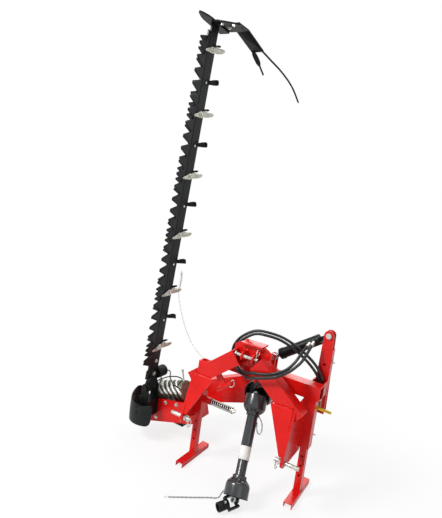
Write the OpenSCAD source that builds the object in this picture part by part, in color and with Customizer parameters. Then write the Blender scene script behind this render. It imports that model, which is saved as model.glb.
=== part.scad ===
// Sickle bar mower for a tractor's three-point hitch, parked on its legs with the cutter bar up.
// Millimetres. +Z is up, +X is right seen from the tractor, +Y is to the rear.
// Heights are worked out from the ground, and the whole part is then set on the top link pin.

/* [Hitch] */
// Distance between the shoulders of the two lower hitch pins
lower_spread = 683; // [670:1:700]
// Height of the lower hitch pins above the ground
lower_pin_z = 300; // [290:1:310]
// Height of the top link pin above the lower pins
mast_h = 460; // [450:1:470]
// Distance of the top link pin behind the lower pins
top_pin_y = 95; // [90:1:100]
// Diameter of the lower hitch pins
lower_pin_d = 22; // [20:0.5:25]
// Diameter of the top link pin
top_pin_d = 19; // [18:0.5:22]
// Free length of a lower hitch pin outside its shoulder
lower_pin_l = 80; // [60:1:95]
// Gap between the two lugs that take the top link
clevis_gap = 60; // [52:1:66]
// Thickness of the lower hitch plates
hitch_t = 15; // [12:1:20]

/* [A-frame] */
// Width of the two sloping beams
beam_w = 95; // [88:1:100]
// Depth of the beams from front to rear
beam_depth = 80; // [70:1:85]
// Thickness of the folded beam steel
beam_t = 8; // [5:0.5:10]
// Distance of the beams' front face behind the lower pins
beam_front_y = 60; // [55:1:65]
// Height of the transverse tube and its depth
cross_h = 80; // [70:1:90]
// Wall of the transverse tube
cross_t = 6; // [4:0.5:10]

/* [Parking legs] */
// Side of the square leg tube
leg_w = 40; // [36:1:44]
// Wall of the leg tube
leg_t = 4; // [3:0.5:6]
// Length of a foot
foot_l = 300; // [260:5:340]
// Width of a foot
foot_w = 50; // [46:1:60]
// Height of a foot
foot_h = 30; // [25:1:40]
// Distance of the left leg behind the lower pins
left_leg_y = 117; // [110:1:125]
// Distance of the right leg behind the lower pins
right_leg_y = 236; // [230:1:240]

/* [Carrier arm] */
// Width of the belt housing from front to rear
housing_w = 90; // [84:1:100]
// Radius of the belt housing round the drive pulley
housing_r = 95; // [92:1:98]
// Radius of the belt housing round the driven pulley
housing_end_r = 70; // [66:1:74]
// Sheet of the belt housing
housing_t = 5; // [3:0.5:6]
// Height of the head box at its outer end
head_h = 168; // [160:1:176]
// Plate of the head box
head_t = 8; // [5:0.5:10]
// Pitch radius of the drive pulley
drive_r = 75; // [70:1:78]
// Pitch radius of the driven pulley
driven_r = 50; // [46:1:54]

/* [Cutter bar] */
// Length of the bar from its hinge to its outer end
bar_len = 2330; // [2140:1:2360]
// Width of the back bar
bar_w = 73; // [70:1:80]
// Thickness of the back bar
bar_t = 12; // [10:0.5:14]
// Lean of the raised bar towards the machine, in degrees
bar_lean = 3.75; // [2:0.05:5]
// Spacing of the knife guides of one kind
guide_pitch = 381; // [370:1:384]
// Upper knife sections in one guide spacing
upper_sections = 5; // [4:1:6]
// Lower knife sections in one guide spacing
lower_sections = 6; // [5:1:7]
// Thickness of a knife
knife_t = 4; // [3:0.5:5]
// Length of a knife section in front of its back strip
section_l = 65; // [55:1:70]
// Width of the ground edge of a section
section_grind = 7; // [4:0.5:9]
// Travel of each knife to either side of its middle
knife_travel = 32; // [20:1:36]

/* [Lift] */
// Outer radius of the lift cylinder's barrel
barrel_r = 32; // [28:0.5:34]
// Radius of the piston rod
rod_r = 15; // [12:0.5:18]
// Diameter of the hydraulic hoses
hose_d = 17; // [14:0.5:18]

/* [Driveline] */
// Radius of the driveline guard's cones
cone_r = 66; // [62:0.5:68]
// Radius of the outer guard tube
guard_r = 32; // [31:0.5:34]
// Angle of the hanging driveline below level, in degrees
pto_pitch = 55.4; // [50:0.1:58]
// Angle of the hanging driveline to the right, in degrees
pto_yaw = 9.75; // [5:0.05:12]
// Bore of the tractor yoke
yoke_bore_d = 35; // [34:0.1:38]

/* [Hidden] */
$fn = 48;
paint_red = "#c8161d";
paint_black = "#1c1d1f";
steel_grey = "#a9adb0";
cut = 1;
fit = 0.05;
seat = 0.3;
weld = 1;

// Places shared by several pieces
lower_pin_r = lower_pin_d / 2;
top_pin_r = top_pin_d / 2;
top_pin_z = lower_pin_z + mast_h;
hitch_out_x = lower_spread / 2;
hitch_in_x = hitch_out_x - hitch_t;
beam_back_y = beam_front_y + beam_depth;
beam_head_x = 65;
beam_head_drop = 12;
beam_overhang = 10;
beam_foot_rise = 218;
beam_head = [beam_head_x, top_pin_z - beam_head_drop];
beam_foot = [hitch_out_x + beam_overhang, lower_pin_z + beam_foot_rise];
beam_run = norm(beam_foot - beam_head);
beam_fall = atan2(beam_head[1] - beam_foot[1], beam_foot[0] - beam_head[0]);
sleeve_t = 10;
sleeve_w = leg_w + 2 * sleeve_t;
sleeve_bore = leg_w + 2 * seat;
left_leg_x = -(hitch_in_x - sleeve_w / 2 + weld);
right_leg_x = hitch_out_x + sleeve_w / 2 - weld;
sleeve_rise = 5;
sleeve_low_z = lower_pin_z + sleeve_rise;
cross_rise = 300;
cross_low_z = lower_pin_z + cross_rise;
cross_high_z = cross_low_z + cross_h;
cross_set = 60;
cross_y = beam_back_y + cross_set;
cross_back_y = cross_y + cross_h;
left_sleeve_rise = 345;
left_sleeve_high_z = lower_pin_z + left_sleeve_rise;
pivot_x = 40;
pivot_rise = 205;
pivot = [pivot_x, lower_pin_z + pivot_rise];
joint_y = 214;
housing_set = 136;
housing_y = joint_y + housing_set;
driven_step = [-560, -222];
driven = pivot + driven_step;
head_corner = [-700, 72];
head_slope = 17.5;
head_l = 365;
head_end_h_share = 0.78;
head_y = 150;
hinge_x = -690;
hinge_rise = 45;
hinge = [hinge_x, lower_pin_z + hinge_rise];
bar_mid_y = 98.5;
bar_front_y = bar_mid_y - bar_w / 2;
bar_back_y = bar_mid_y + bar_w / 2;
lift_set = 24;
lift_y = housing_y + lift_set;
rod_end_step = [5, 207];
rod_end = pivot + rod_end_step;
mast_pin_x = 375;
mast_pin_rise = 645;
mast_pin = [mast_pin_x, lower_pin_z + mast_pin_rise];
lift_l = norm(mast_pin - rod_end);
lift_fall = atan2(mast_pin[1] - rod_end[1], mast_pin[0] - rod_end[0]);

// A round piece whose axis runs to the rear from a point
module at_y(x, y, z) {
    translate([x, y, z]) rotate([-90, 0, 0]) children();
}

// A round piece whose axis runs to the right from a point
module at_x(x, y, z) {
    translate([x, y, z]) rotate([0, 90, 0]) children();
}

// A plate with its outline drawn in X and Z, of thickness t behind y
module plate_xz(y, t) {
    translate([0, y + t, 0]) rotate([90, 0, 0]) linear_extrude(t) children();
}

// A plate with its outline drawn in Y and Z, of thickness t to the right of x
module plate_yz(x, t) {
    translate([x, 0, 0]) rotate([90, 0, 90]) linear_extrude(t) children();
}

// Outline of two circles and the straight band between them
module link_2d(a, ra, b, rb) {
    run = norm(b - a);
    way = atan2(b[1] - a[1], b[0] - a[0]);
    lean = acos((ra - rb) / run);
    translate(a) circle(ra);
    translate(b) circle(rb);
    polygon([
        a,
        a + (ra - fit) * [cos(way - lean), sin(way - lean)],
        b + (rb - fit) * [cos(way - lean), sin(way - lean)],
        b,
        b + (rb - fit) * [cos(way + lean), sin(way + lean)],
        a + (ra - fit) * [cos(way + lean), sin(way + lean)]
    ]);
}

// Tube of many sides swept along points, with rings square to the run
function unit(v) = v / norm(v);
function run_at(p, i) = unit(p[min(i + 1, len(p) - 1)] - p[max(i - 1, 0)]);
function ring_at(p, i, r, n, up) = let (
        t = run_at(p, i),
        u = unit(cross(t, up)),
        v = cross(u, t)
    ) [for (k = [0 : n - 1]) p[i] + r * (u * cos(360 * k / n) + v * sin(360 * k / n))];
module swept(p, r, n, up) {
    rings = len(p);
    last = (rings - 1) * n;
    polyhedron(
        points = [for (i = [0 : rings - 1]) each ring_at(p, i, r, n, up)],
        faces = [
            for (k = [1 : n - 2]) [0, k, k + 1],
            for (i = [0 : rings - 2]) for (k = [0 : n - 1]) let (
                a = i * n + k,
                b = i * n + (k + 1) % n
            ) each [[a, a + n, b], [b, a + n, b + n]],
            for (k = [1 : n - 2]) [last, last + k + 1, last + k]
        ]
    );
}

// Smooth route through points chosen by hand, with a few rings between each pair
function blend(a, b, c, d, t) = 0.5 * (2 * b + (c - a) * t + (2 * a - 5 * b + 4 * c - d) * t * t
    + (3 * b - a - 3 * c + d) * t * t * t);
function route(p, steps) = [
    for (i = [0 : len(p) - 2]) for (k = [0 : steps - 1])
        blend(p[max(i - 1, 0)], p[i], p[i + 1], p[min(i + 2, len(p) - 1)], k / steps),
    p[len(p) - 1]
];

// Crown of the A-frame with the two lugs for the top link
crown_t = 10;
crown_half_w = 120;
crown_drop = 70;
crown_rise = 75;
crown_low_z = top_pin_z - crown_drop;
crown_high_z = top_pin_z + crown_rise;
crown_shoulder = [70, 30];
lug_t = 12;
lug_r = 28;
cheek_x = clevis_gap / 2;
crown_lip = 30;
crown_lip_y = beam_back_y - crown_lip;
module crown_outline() {
    polygon([
        [-crown_half_w, crown_low_z],
        [crown_half_w, crown_low_z],
        [crown_half_w, crown_high_z - crown_shoulder[1]],
        [crown_shoulder[0], crown_high_z],
        [-crown_shoulder[0], crown_high_z],
        [-crown_half_w, crown_high_z - crown_shoulder[1]]
    ]);
}
module crown() {
    color(paint_red) difference() {
        union() {
            plate_xz(beam_back_y + fit, crown_t) crown_outline();
            for (x = [-clevis_gap / 2 - lug_t, clevis_gap / 2]) plate_yz(x, lug_t) {
                translate([top_pin_y, top_pin_z]) circle(lug_r);
                translate([top_pin_y, top_pin_z - lug_r])
                    square([beam_back_y + weld - top_pin_y, 2 * lug_r]);
            }
            for (x = [-cheek_x - lug_t, cheek_x])
                translate([x, beam_back_y + crown_t - weld, cross_low_z])
                    cube([lug_t, cross_y - beam_back_y - crown_t + weld, crown_high_z - cross_low_z]);
            translate([-crown_shoulder[0], crown_lip_y, crown_high_z - crown_t])
                cube([2 * crown_shoulder[0], cross_y - crown_lip_y, crown_t]);
        }
        at_x(-clevis_gap, top_pin_y, top_pin_z) cylinder(r = top_pin_r + fit, h = 2 * clevis_gap);
    }
}

// One sloping beam, folded as a channel that is open to the rear
module beam_channel() {
    translate([beam_head[0], beam_front_y, beam_head[1]]) rotate([0, beam_fall, 0])
        translate([0, 0, -beam_w / 2]) difference() {
            cube([beam_run, beam_depth, beam_w]);
            translate([-cut, beam_t, beam_t]) cube([beam_run + 2 * cut, beam_depth, beam_w - 2 * beam_t]);
        }
}
module beam_left() {
    color(paint_red) difference() {
        mirror([1, 0, 0]) beam_channel();
        hitch_body(-1, left_leg_x, left_leg_y, left_sleeve_high_z);
    }
}
module beam_right() {
    color(paint_red) difference() {
        beam_channel();
        hitch_body(1, right_leg_x, right_leg_y, cross_low_z);
    }
}

// Lower hitch bracket: plate with its nose round the pin, front gusset and the leg's sleeve
hitch_nose_r = 30;
hitch_rise = 285;
hitch_top_z = lower_pin_z + hitch_rise;
gusset_t = 8;
gusset_w = 135;
gusset_foot_w = 18;
gusset_h = 250;
gusset_rise = 268;
gusset_top_z = lower_pin_z + gusset_rise;
gusset_tilt = 15.5;
hitch_heel = 28;
screw_rise = 60;
screw_z = lower_pin_z + screw_rise;
screw_r = 8;
boss_r = 14;
boss_l = 14;
module hitch_plate_2d(back_y, back_z) {
    translate([0, lower_pin_z]) circle(hitch_nose_r);
    polygon([
        [0, lower_pin_z - hitch_nose_r],
        [back_y - hitch_heel, lower_pin_z - hitch_heel],
        [back_y, lower_pin_z],
        [back_y, back_z],
        [beam_back_y + beam_t / 2, hitch_top_z],
        [beam_front_y + beam_t / 2, hitch_top_z],
        [-hitch_nose_r, lower_pin_z]
    ]);
}
module gusset(side) {
    translate([0, beam_front_y - seat, gusset_top_z]) rotate([-gusset_tilt, 0, 0])
        plate_xz(-gusset_t, gusset_t) polygon([
            [side * (hitch_in_x + weld), 0],
            [side * (hitch_in_x - gusset_w), 0],
            [side * (hitch_in_x - gusset_foot_w), -gusset_h],
            [side * (hitch_in_x + weld), -gusset_h]
        ]);
}
module hitch_body(side, leg_x, leg_y, sleeve_high_z) {
    plate_yz(side > 0 ? hitch_in_x : -hitch_out_x, hitch_t)
        hitch_plate_2d(leg_y + sleeve_w / 2, min(sleeve_high_z, cross_low_z));
    translate([leg_x - sleeve_w / 2, leg_y - sleeve_w / 2, sleeve_low_z])
        cube([sleeve_w, sleeve_w, sleeve_high_z - sleeve_low_z]);
    at_y(leg_x, leg_y + sleeve_w / 2 - weld, screw_z) cylinder(r = boss_r, h = boss_l + weld);
    gusset(side);
}
module hitch_bracket(side, leg_x, leg_y, sleeve_high_z) {
    color(paint_red) difference() {
        hitch_body(side, leg_x, leg_y, sleeve_high_z);
        translate([leg_x - sleeve_bore / 2, leg_y - sleeve_bore / 2, sleeve_low_z - cut])
            cube([sleeve_bore, sleeve_bore, sleeve_high_z - sleeve_low_z + 2 * cut]);
        at_x(side * hitch_out_x - hitch_t - cut, 0, lower_pin_z)
            cylinder(r = stud_r + fit, h = 2 * (hitch_t + cut));
        at_y(leg_x, leg_y, screw_z) cylinder(r = screw_r + fit, h = sleeve_w);
    }
}
module hitch_bracket_left() {
    hitch_bracket(-1, left_leg_x, left_leg_y, left_sleeve_high_z);
}
module hitch_bracket_right() {
    hitch_bracket(1, right_leg_x, right_leg_y, cross_low_z);
}

// Transverse tube with the plate and tube that carry the input shaft and the arm
cross_left_x = -190;
cross_overhang = 15;
cross_right_x = right_leg_x + sleeve_w / 2 + cross_overhang;
bearing_plate_t = 12;
bearing_plate_r = 76;
bearing_tube_r = 50;
bearing_r = 36;
bearing_tube_gap = 4;
bearing_tube_end_y = housing_y - bearing_tube_gap;
module rear_frame() {
    color(paint_red) difference() {
        union() {
            difference() {
                translate([cross_left_x, cross_y, cross_low_z])
                    cube([cross_right_x - cross_left_x, cross_h, cross_h]);
                translate([cross_left_x - cut, cross_y + cross_t, cross_low_z + cross_t])
                    cube([
                        cross_right_x - cross_left_x + 2 * cut,
                        cross_h - 2 * cross_t,
                        cross_h - 2 * cross_t
                    ]);
            }
            plate_xz(cross_back_y - weld, bearing_plate_t + weld) {
                translate(pivot) circle(bearing_plate_r);
                translate([pivot[0] - bearing_plate_r, pivot[1]])
                    square([2 * bearing_plate_r, cross_high_z - pivot[1]]);
            }
            at_y(pivot[0], cross_back_y, pivot[1])
                cylinder(r = bearing_tube_r, h = bearing_tube_end_y - cross_back_y);
        }
        at_y(pivot[0], cross_back_y - 2 * cut, pivot[1])
            cylinder(r = bearing_r + fit, h = bearing_tube_end_y - cross_back_y + 3 * cut);
    }
}

// Mast of two plates and a back web, which takes the upper end of the lift cylinder
mast_plate_t = 10;
mast_gap = 28;
mast_low_rise = 175;
mast_low_z = lower_pin_z + mast_low_rise;
mast_foot = [332, 418];
mast_waist_rise = 400;
mast_waist_z = lower_pin_z + mast_waist_rise;
mast_waist = [340, 412];
mast_eye_r = 30;
mast_web_t = 8;
mast_web_drop = 75;
mast_web_top_z = mast_pin[1] - mast_web_drop;
mast_pin_r = 12.5;
mast_front_y = lift_y - mast_gap / 2 - mast_plate_t;
mast_hole_r = 9;
mast_hole_rise = 470;
mast_hole_z = lower_pin_z + mast_hole_rise;
module mast_outline() {
    polygon([
        [mast_foot[0], mast_low_z],
        [mast_foot[1], mast_low_z],
        [mast_waist[1], mast_waist_z],
        [mast_pin[0] + mast_eye_r, mast_pin[1]],
        [mast_pin[0] - mast_eye_r, mast_pin[1]],
        [mast_waist[0], mast_waist_z]
    ]);
    translate(mast_pin) circle(mast_eye_r);
}
module lift_mast() {
    color(paint_red) difference() {
        union() {
            for (y = [mast_front_y, lift_y + mast_gap / 2]) plate_xz(y, mast_plate_t) mast_outline();
            translate([mast_waist[1] - mast_web_t, mast_front_y, mast_low_z])
                cube([mast_web_t, 2 * mast_plate_t + mast_gap, mast_web_top_z - mast_low_z]);
            for (x = [mast_foot[0], mast_waist[1] - mast_web_t])
                translate([x, cross_back_y, cross_low_z])
                    cube([mast_web_t, mast_front_y - cross_back_y + weld, cross_h]);
        }
        at_y(mast_pin[0], mast_front_y - cut, mast_pin[1])
            cylinder(r = mast_pin_r + fit, h = 2 * mast_plate_t + mast_gap + 2 * cut);
        at_y(mast_pin[0], mast_front_y - cut, mast_hole_z)
            cylinder(r = mast_hole_r, h = mast_plate_t + 2 * cut);
    }
}

// Pins of the hitch, with their handles, shoulders and linch pins
top_pin_left_x = -77;
top_pin_right_x = 62;
pin_head_r = 17;
pin_head_l = 10;
linch_r = 5;
linch_inset = 12;
linch_l = 56;
ring_r = 2.5;
ring_bend_r = 21;
lower_nut_r = 19;
lower_nut_l = 18;
stud_r = 9.5;
stud_past = 26;
stud_l = hitch_t + lower_nut_l + stud_past;
stud_linch_x = hitch_out_x - stud_l + linch_inset;
module top_link_pin() {
    color(steel_grey) difference() {
        union() {
            at_x(top_pin_left_x, top_pin_y, top_pin_z)
                cylinder(r = top_pin_r, h = top_pin_right_x - top_pin_left_x);
            at_x(top_pin_left_x - pin_head_l, top_pin_y, top_pin_z)
                cylinder(r = pin_head_r, h = pin_head_l);
        }
        translate([top_pin_right_x - linch_inset, top_pin_y, top_pin_z - linch_l])
            cylinder(r = linch_r + fit, h = 2 * linch_l);
    }
}
module lower_pin(side) {
    color(steel_grey) difference() {
        union() {
            at_x(side > 0 ? hitch_out_x : -hitch_out_x - lower_pin_l, 0, lower_pin_z)
                cylinder(r = lower_pin_r, h = lower_pin_l);
            at_x(side > 0 ? hitch_out_x - stud_l : -hitch_out_x - weld, 0, lower_pin_z)
                cylinder(r = stud_r, h = stud_l + weld);
            at_x(side > 0 ? hitch_in_x - lower_nut_l : -hitch_in_x, 0, lower_pin_z)
                cylinder(r = lower_nut_r, h = lower_nut_l, $fn = 6);
        }
        for (x = [hitch_out_x + lower_pin_l - linch_inset, stud_linch_x])
            translate([side * x, 0, lower_pin_z - linch_l]) cylinder(r = linch_r + fit, h = 2 * linch_l);
    }
}
module lower_pin_left() {
    lower_pin(-1);
}
module lower_pin_right() {
    lower_pin(1);
}
module linch_pin(pin_r) {
    translate([0, 0, -pin_r - ring_bend_r / 2]) cylinder(r = linch_r, h = linch_l);
    translate([0, ring_bend_r - linch_r, linch_l - pin_r - ring_bend_r / 2 + weld]) rotate([0, 90, 0])
        rotate_extrude() translate([ring_bend_r, 0]) circle(ring_r);
}
module linch_pins() {
    color(steel_grey) {
        for (side = [-1, 1])
            translate([side * stud_linch_x, 0, lower_pin_z]) mirror([0, 0, 1]) linch_pin(stud_r);
        translate([top_pin_right_x - linch_inset, top_pin_y, top_pin_z]) linch_pin(top_pin_r);
    }
}

// Screws with T handles that clamp the legs in their sleeves
handle_l = 70;
handle_r = 5;
screw_free_l = 26;
module leg_screw(leg_x, leg_y) {
    tip = leg_w / 2 + 2 * seat;
    at_y(leg_x, leg_y + tip, screw_z)
        cylinder(r = screw_r, h = sleeve_w / 2 - tip + boss_l + screw_free_l);
    at_x(leg_x - handle_l / 2, leg_y + sleeve_w / 2 + boss_l + screw_free_l - handle_r, screw_z)
        cylinder(r = handle_r, h = handle_l);
}
module leg_screws() {
    color(steel_grey) {
        leg_screw(left_leg_x, left_leg_y);
        leg_screw(right_leg_x, right_leg_y);
    }
}

// Parking leg: square tube with a row of holes on a folded foot
leg_hole_r = 6;
leg_hole_first = 130;
leg_hole_pitch = 60;
leg_holes = 3;
leg_proud = 4;
leg_travel = 200;
leg_room = 12;
module leg(leg_x, leg_y, top_z) {
    color(paint_red) difference() {
        union() {
            translate([leg_x - leg_w / 2, leg_y - leg_w / 2, foot_h - weld])
                cube([leg_w, leg_w, top_z - foot_h + weld]);
            translate([leg_x - foot_w / 2, leg_y - foot_l / 2, 0]) cube([foot_w, foot_l, foot_h]);
        }
        translate([leg_x - leg_w / 2 + leg_t, leg_y - leg_w / 2 + leg_t, foot_h])
            cube([leg_w - 2 * leg_t, leg_w - 2 * leg_t, top_z]);
        translate([leg_x - foot_w / 2 + leg_t, leg_y - foot_l / 2 - cut, -cut])
            cube([foot_w - 2 * leg_t, foot_l + 2 * cut, foot_h - leg_t + cut]);
        for (i = [0 : leg_holes - 1])
            at_y(leg_x, leg_y - leg_w, leg_hole_first + i * leg_hole_pitch)
                cylinder(r = leg_hole_r, h = 2 * leg_w);
    }
}
module leg_left() {
    leg(left_leg_x, left_leg_y, left_sleeve_high_z + leg_proud);
}
module leg_right() {
    leg(right_leg_x, right_leg_y, cross_low_z - leg_travel - leg_room);
}

// Lift cylinder: barrel with its eye on the mast, and rod with its eye on the arm
eye_r = 24;
eye_w = 24;
rod_eye_r = 22;
rod_eye_trim = 2;
rod_eye_w = 2 * rod_r - rod_eye_trim;
rod_pin_r = 10;
open_play = 2.6;
barrel_start = 66;
barrel_end = 345;
gland_l = 26;
gland_lip = 3;
gland_r = barrel_r + gland_lip;
port_r = 11;
port_l = 18;
port_at = [92, 118];
rod_in = 150;
module on_lift() {
    translate([mast_pin[0], lift_y, mast_pin[1]]) rotate([0, 180 - lift_fall, 0]) children();
}
module lift_barrel() {
    color(paint_black) on_lift() difference() {
        union() {
            translate([0, -eye_w / 2, 0]) at_y(0, 0, 0) cylinder(r = eye_r, h = eye_w);
            translate([0, -eye_w / 2, -eye_r / 2]) cube([barrel_start + weld, eye_w, eye_r]);
            at_x(barrel_start, 0, 0) cylinder(r = barrel_r, h = barrel_end - barrel_start);
            at_x(barrel_end - gland_l, 0, 0) cylinder(r = gland_r, h = gland_l);
            for (x = port_at)
                at_y(x, -barrel_r - port_l, 0) cylinder(r = port_r, h = barrel_r + port_l);
        }
        translate([0, -eye_w, 0]) at_y(0, 0, 0) cylinder(r = mast_pin_r + fit, h = 2 * eye_w);
        at_x(barrel_end - rod_in, 0, 0) cylinder(r = rod_r + fit, h = rod_in + cut);
    }
}
module lift_rod() {
    color(steel_grey) on_lift() difference() {
        union() {
            at_x(barrel_end - rod_in + 2 * seat, 0, 0)
                cylinder(r = rod_r, h = lift_l - barrel_end + rod_in - rod_eye_r / 2);
            at_y(lift_l, -rod_eye_w / 2, 0) cylinder(r = rod_eye_r, h = rod_eye_w);
        }
        at_y(lift_l, -rod_eye_w, 0) cylinder(r = rod_pin_r + open_play, h = 2 * rod_eye_w);
    }
}
module barrel_pin() {
    color(steel_grey) at_y(mast_pin[0], mast_front_y - pin_head_l, mast_pin[1]) {
        cylinder(r = mast_pin_r, h = 2 * mast_plate_t + mast_gap + 2 * pin_head_l);
        cylinder(r = pin_head_r, h = pin_head_l - seat);
    }
}

// Shut-off valve on the mast with its lever, and the two hoses between it and the cylinder
valve_size = [44, 36, 58];
valve_set = 38;
valve_x = mast_waist[0] + valve_set;
valve_y = mast_front_y - valve_size[1];
valve_rise = 205;
valve_z = lower_pin_z + valve_rise;
valve_port_r = 10;
valve_port_l = 16;
valve_port_gap = 22;
lever_stem_r = 6;
lever_stem_l = 16;
lever_l = 95;
lever_w = 16;
lever_t = 8;
lever_boss_r = 12;
module at_stem(y) {
    at_y(valve_x, y, valve_z + lever_w) children();
}
module valve_block() {
    color(steel_grey) {
        translate([valve_x - valve_size[0] / 2, valve_y, valve_z]) cube(valve_size);
        for (k = [-1, 1]) translate([
            valve_x + k * valve_port_gap / 2,
            valve_y + valve_size[1] / 2,
            valve_z + valve_size[2] - weld
        ]) cylinder(r = valve_port_r, h = valve_port_l + weld);
        at_stem(valve_y - lever_stem_l) cylinder(r = lever_stem_r, h = lever_stem_l + weld);
    }
}
module valve_lever() {
    color("#e6c813") difference() {
        union() {
            at_stem(valve_y - lever_stem_l) cylinder(r = lever_boss_r, h = lever_t);
            translate([valve_x, valve_y - lever_stem_l, valve_z + lever_w / 2])
                cube([lever_l, lever_t, lever_w]);
        }
        at_stem(valve_y - 2 * lever_stem_l) cylinder(r = lever_stem_r + fit, h = 2 * lever_stem_l);
    }
}

// Routes of the hoses: up from the valve, over the crown, round and back to the cylinder's ports
hose_steps = 2;
hose_sides = 8;
hose_side = [0, 1, 0.2];
hose_front_route = [
    [367, 332, 580], [367, 332, 625], [355, 328, 692], [306, 314, 752], [224, 288, 816], [130, 250, 866],
    [40, 222, 880], [-32, 210, 872], [-98, 196, 824], [-130, 184, 776], [-134, 174, 738], [-126, 166, 706],
    [-104, 162, 672], [-72, 150, 658], [-20, 98, 668], [25, 62, 684], [66, 46, 700], [147, 43, 719],
    [211, 46, 748], [246, 86, 770], [256, 150, 788], [254, 210, 796], [254, 256, 822], [268, 284, 862],
    [279, 304, 876], [279, 320, 877]
];
hose_rear_route = [
    [389, 332, 580], [389, 332, 632], [378, 330, 700], [330, 320, 772], [242, 298, 838], [138, 264, 890],
    [38, 240, 904], [-44, 228, 894], [-118, 212, 842], [-152, 200, 784], [-158, 192, 736], [-148, 184, 690],
    [-118, 170, 654], [-74, 140, 642], [-18, 98, 648], [34, 52, 660], [76, 26, 680], [148, 22, 704],
    [214, 26, 734], [262, 70, 764], [278, 150, 782], [281, 216, 788], [286, 260, 826], [296, 286, 876],
    [300, 304, 891], [300, 320, 892]
];
module lift_hose_front() {
    color(paint_black) swept(route(hose_front_route, hose_steps), hose_d / 2, hose_sides, hose_side);
}
module lift_hose_rear() {
    color(paint_black) swept(route(hose_rear_route, hose_steps), hose_d / 2, hose_sides, hose_side);
}

// Input shaft with its yoke and bearings, under an arched hood
ear_half = 14;
ear_in = 26;
ear_out = 37;
ear_reach = 46;
hub_r = 29;
hub_l = 18;
trunnion_r = 9;
cross_ball_r = 13.5;
shaft_r = 17.5;
shaft_past = 78;
shaft_end_y = housing_y + shaft_past;
bearing_l = 18;
hood_r = 86;
hood_t = 4;
hood_l = 69;
hood_drop = 30;
hood_hole_r = 43.5;
hood_front_y = cross_back_y - weld - hood_l;
module yoke_ears() {
    for (side = [-1, 1]) difference() {
        union() {
            at_x(side > 0 ? ear_in : -ear_out, 0, 0) cylinder(r = ear_half, h = ear_out - ear_in);
            translate([side > 0 ? ear_in : -ear_out, 0, -ear_half])
                cube([ear_out - ear_in, ear_reach, 2 * ear_half]);
        }
        at_x(-ear_out - cut, 0, 0) cylinder(r = trunnion_r + fit, h = 2 * (ear_out + cut));
    }
    translate([-ear_out, ear_reach - weld, -ear_half]) cube([2 * ear_out, hub_l / 2, 2 * ear_half]);
}
module cross_piece() {
    at_x(-ear_out, 0, 0) cylinder(r = trunnion_r, h = 2 * ear_out);
    translate([0, 0, -ear_out]) cylinder(r = trunnion_r, h = 2 * ear_out);
    sphere(r = cross_ball_r);
}
module input_shaft() {
    color(paint_black) {
        translate([pivot[0], joint_y, pivot[1]]) yoke_ears();
        at_y(pivot[0], joint_y + ear_reach, pivot[1]) cylinder(r = hub_r, h = hub_l);
        at_y(pivot[0], joint_y + ear_reach, pivot[1])
            cylinder(r = shaft_r, h = shaft_end_y - joint_y - ear_reach);
    }
}
module input_bearings() {
    color(steel_grey) for (y = [cross_back_y + seat, bearing_tube_end_y - bearing_l])
        at_y(pivot[0], y, pivot[1]) difference() {
            cylinder(r = bearing_r, h = bearing_l);
            translate([0, 0, -cut]) cylinder(r = shaft_r + fit, h = bearing_l + 2 * cut);
        }
}
module pto_hood() {
    color(paint_black) difference() {
        at_y(pivot[0], hood_front_y, pivot[1]) cylinder(r = hood_r, h = hood_l);
        at_y(pivot[0], hood_front_y - cut, pivot[1]) cylinder(r = hood_r - hood_t, h = hood_l - hood_t + cut);
        at_y(pivot[0], hood_front_y - cut, pivot[1]) cylinder(r = hood_hole_r, h = hood_l + 2 * cut);
        translate([pivot[0] - 2 * hood_r, hood_front_y - cut, pivot[1] - hood_drop - 2 * hood_r])
            cube([4 * hood_r, hood_l - hood_t + cut, 2 * hood_r]);
    }
}

// Break-away rod beside the left leg, with its compression spring
spring_turns = 10;
spring_wire_r = 2.6;
spring_r = 15;
spring_sides = 6;
spring_rings = 8;
spring_l = 150;
spring_set = 52;
spring_rise = 100;
spring_x = left_leg_x + sleeve_w / 2 + spring_set;
spring_z = lower_pin_z + spring_rise;
release_r = 8;
release_nut_r = 13.6;
release_nut_l = 9.8;
release_lug = [12, 40];
washer_r = 21;
washer_t = 4;
spring_pitch = (spring_l - 2 * spring_wire_r - 2 * seat) / spring_turns;
spring_points = [
    for (i = [0 : spring_turns * spring_rings]) let (a = 360 * i / spring_rings) [
        spring_x + spring_wire_r + seat + spring_pitch * i / spring_rings,
        left_leg_y + spring_r * cos(a),
        spring_z + spring_r * sin(a)
    ]
];
spring_gap = min([
    for (i = [0 : len(spring_points) - 1]) for (j = [i + spring_rings / 2 : 1 : len(spring_points) - 1])
        norm(spring_points[i] - spring_points[j])
]) - 2 * spring_wire_r;
echo(release_spring_gap = spring_gap);
module release_rod() {
    color(paint_red) {
        translate([spring_x - spring_set, left_leg_y - release_lug[0] / 2, spring_z - release_lug[1] / 2])
            cube([spring_set - washer_t + weld, release_lug[0], release_lug[1]]);
        at_x(spring_x - washer_t - weld, left_leg_y, spring_z)
            cylinder(r = release_r, h = spring_l + 3 * washer_t + boss_l);
        at_x(spring_x - washer_t, left_leg_y, spring_z) cylinder(r = washer_r, h = washer_t);
        at_x(spring_x + spring_l, left_leg_y, spring_z) cylinder(r = washer_r, h = washer_t);
        at_x(spring_x + spring_l + washer_t - weld, left_leg_y, spring_z)
            cylinder(r = release_nut_r, h = release_nut_l, $fn = 6);
    }
}
module release_spring() {
    color(steel_grey) swept(spring_points, spring_wire_r, spring_sides, [1, 0, 0]);
}

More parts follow.
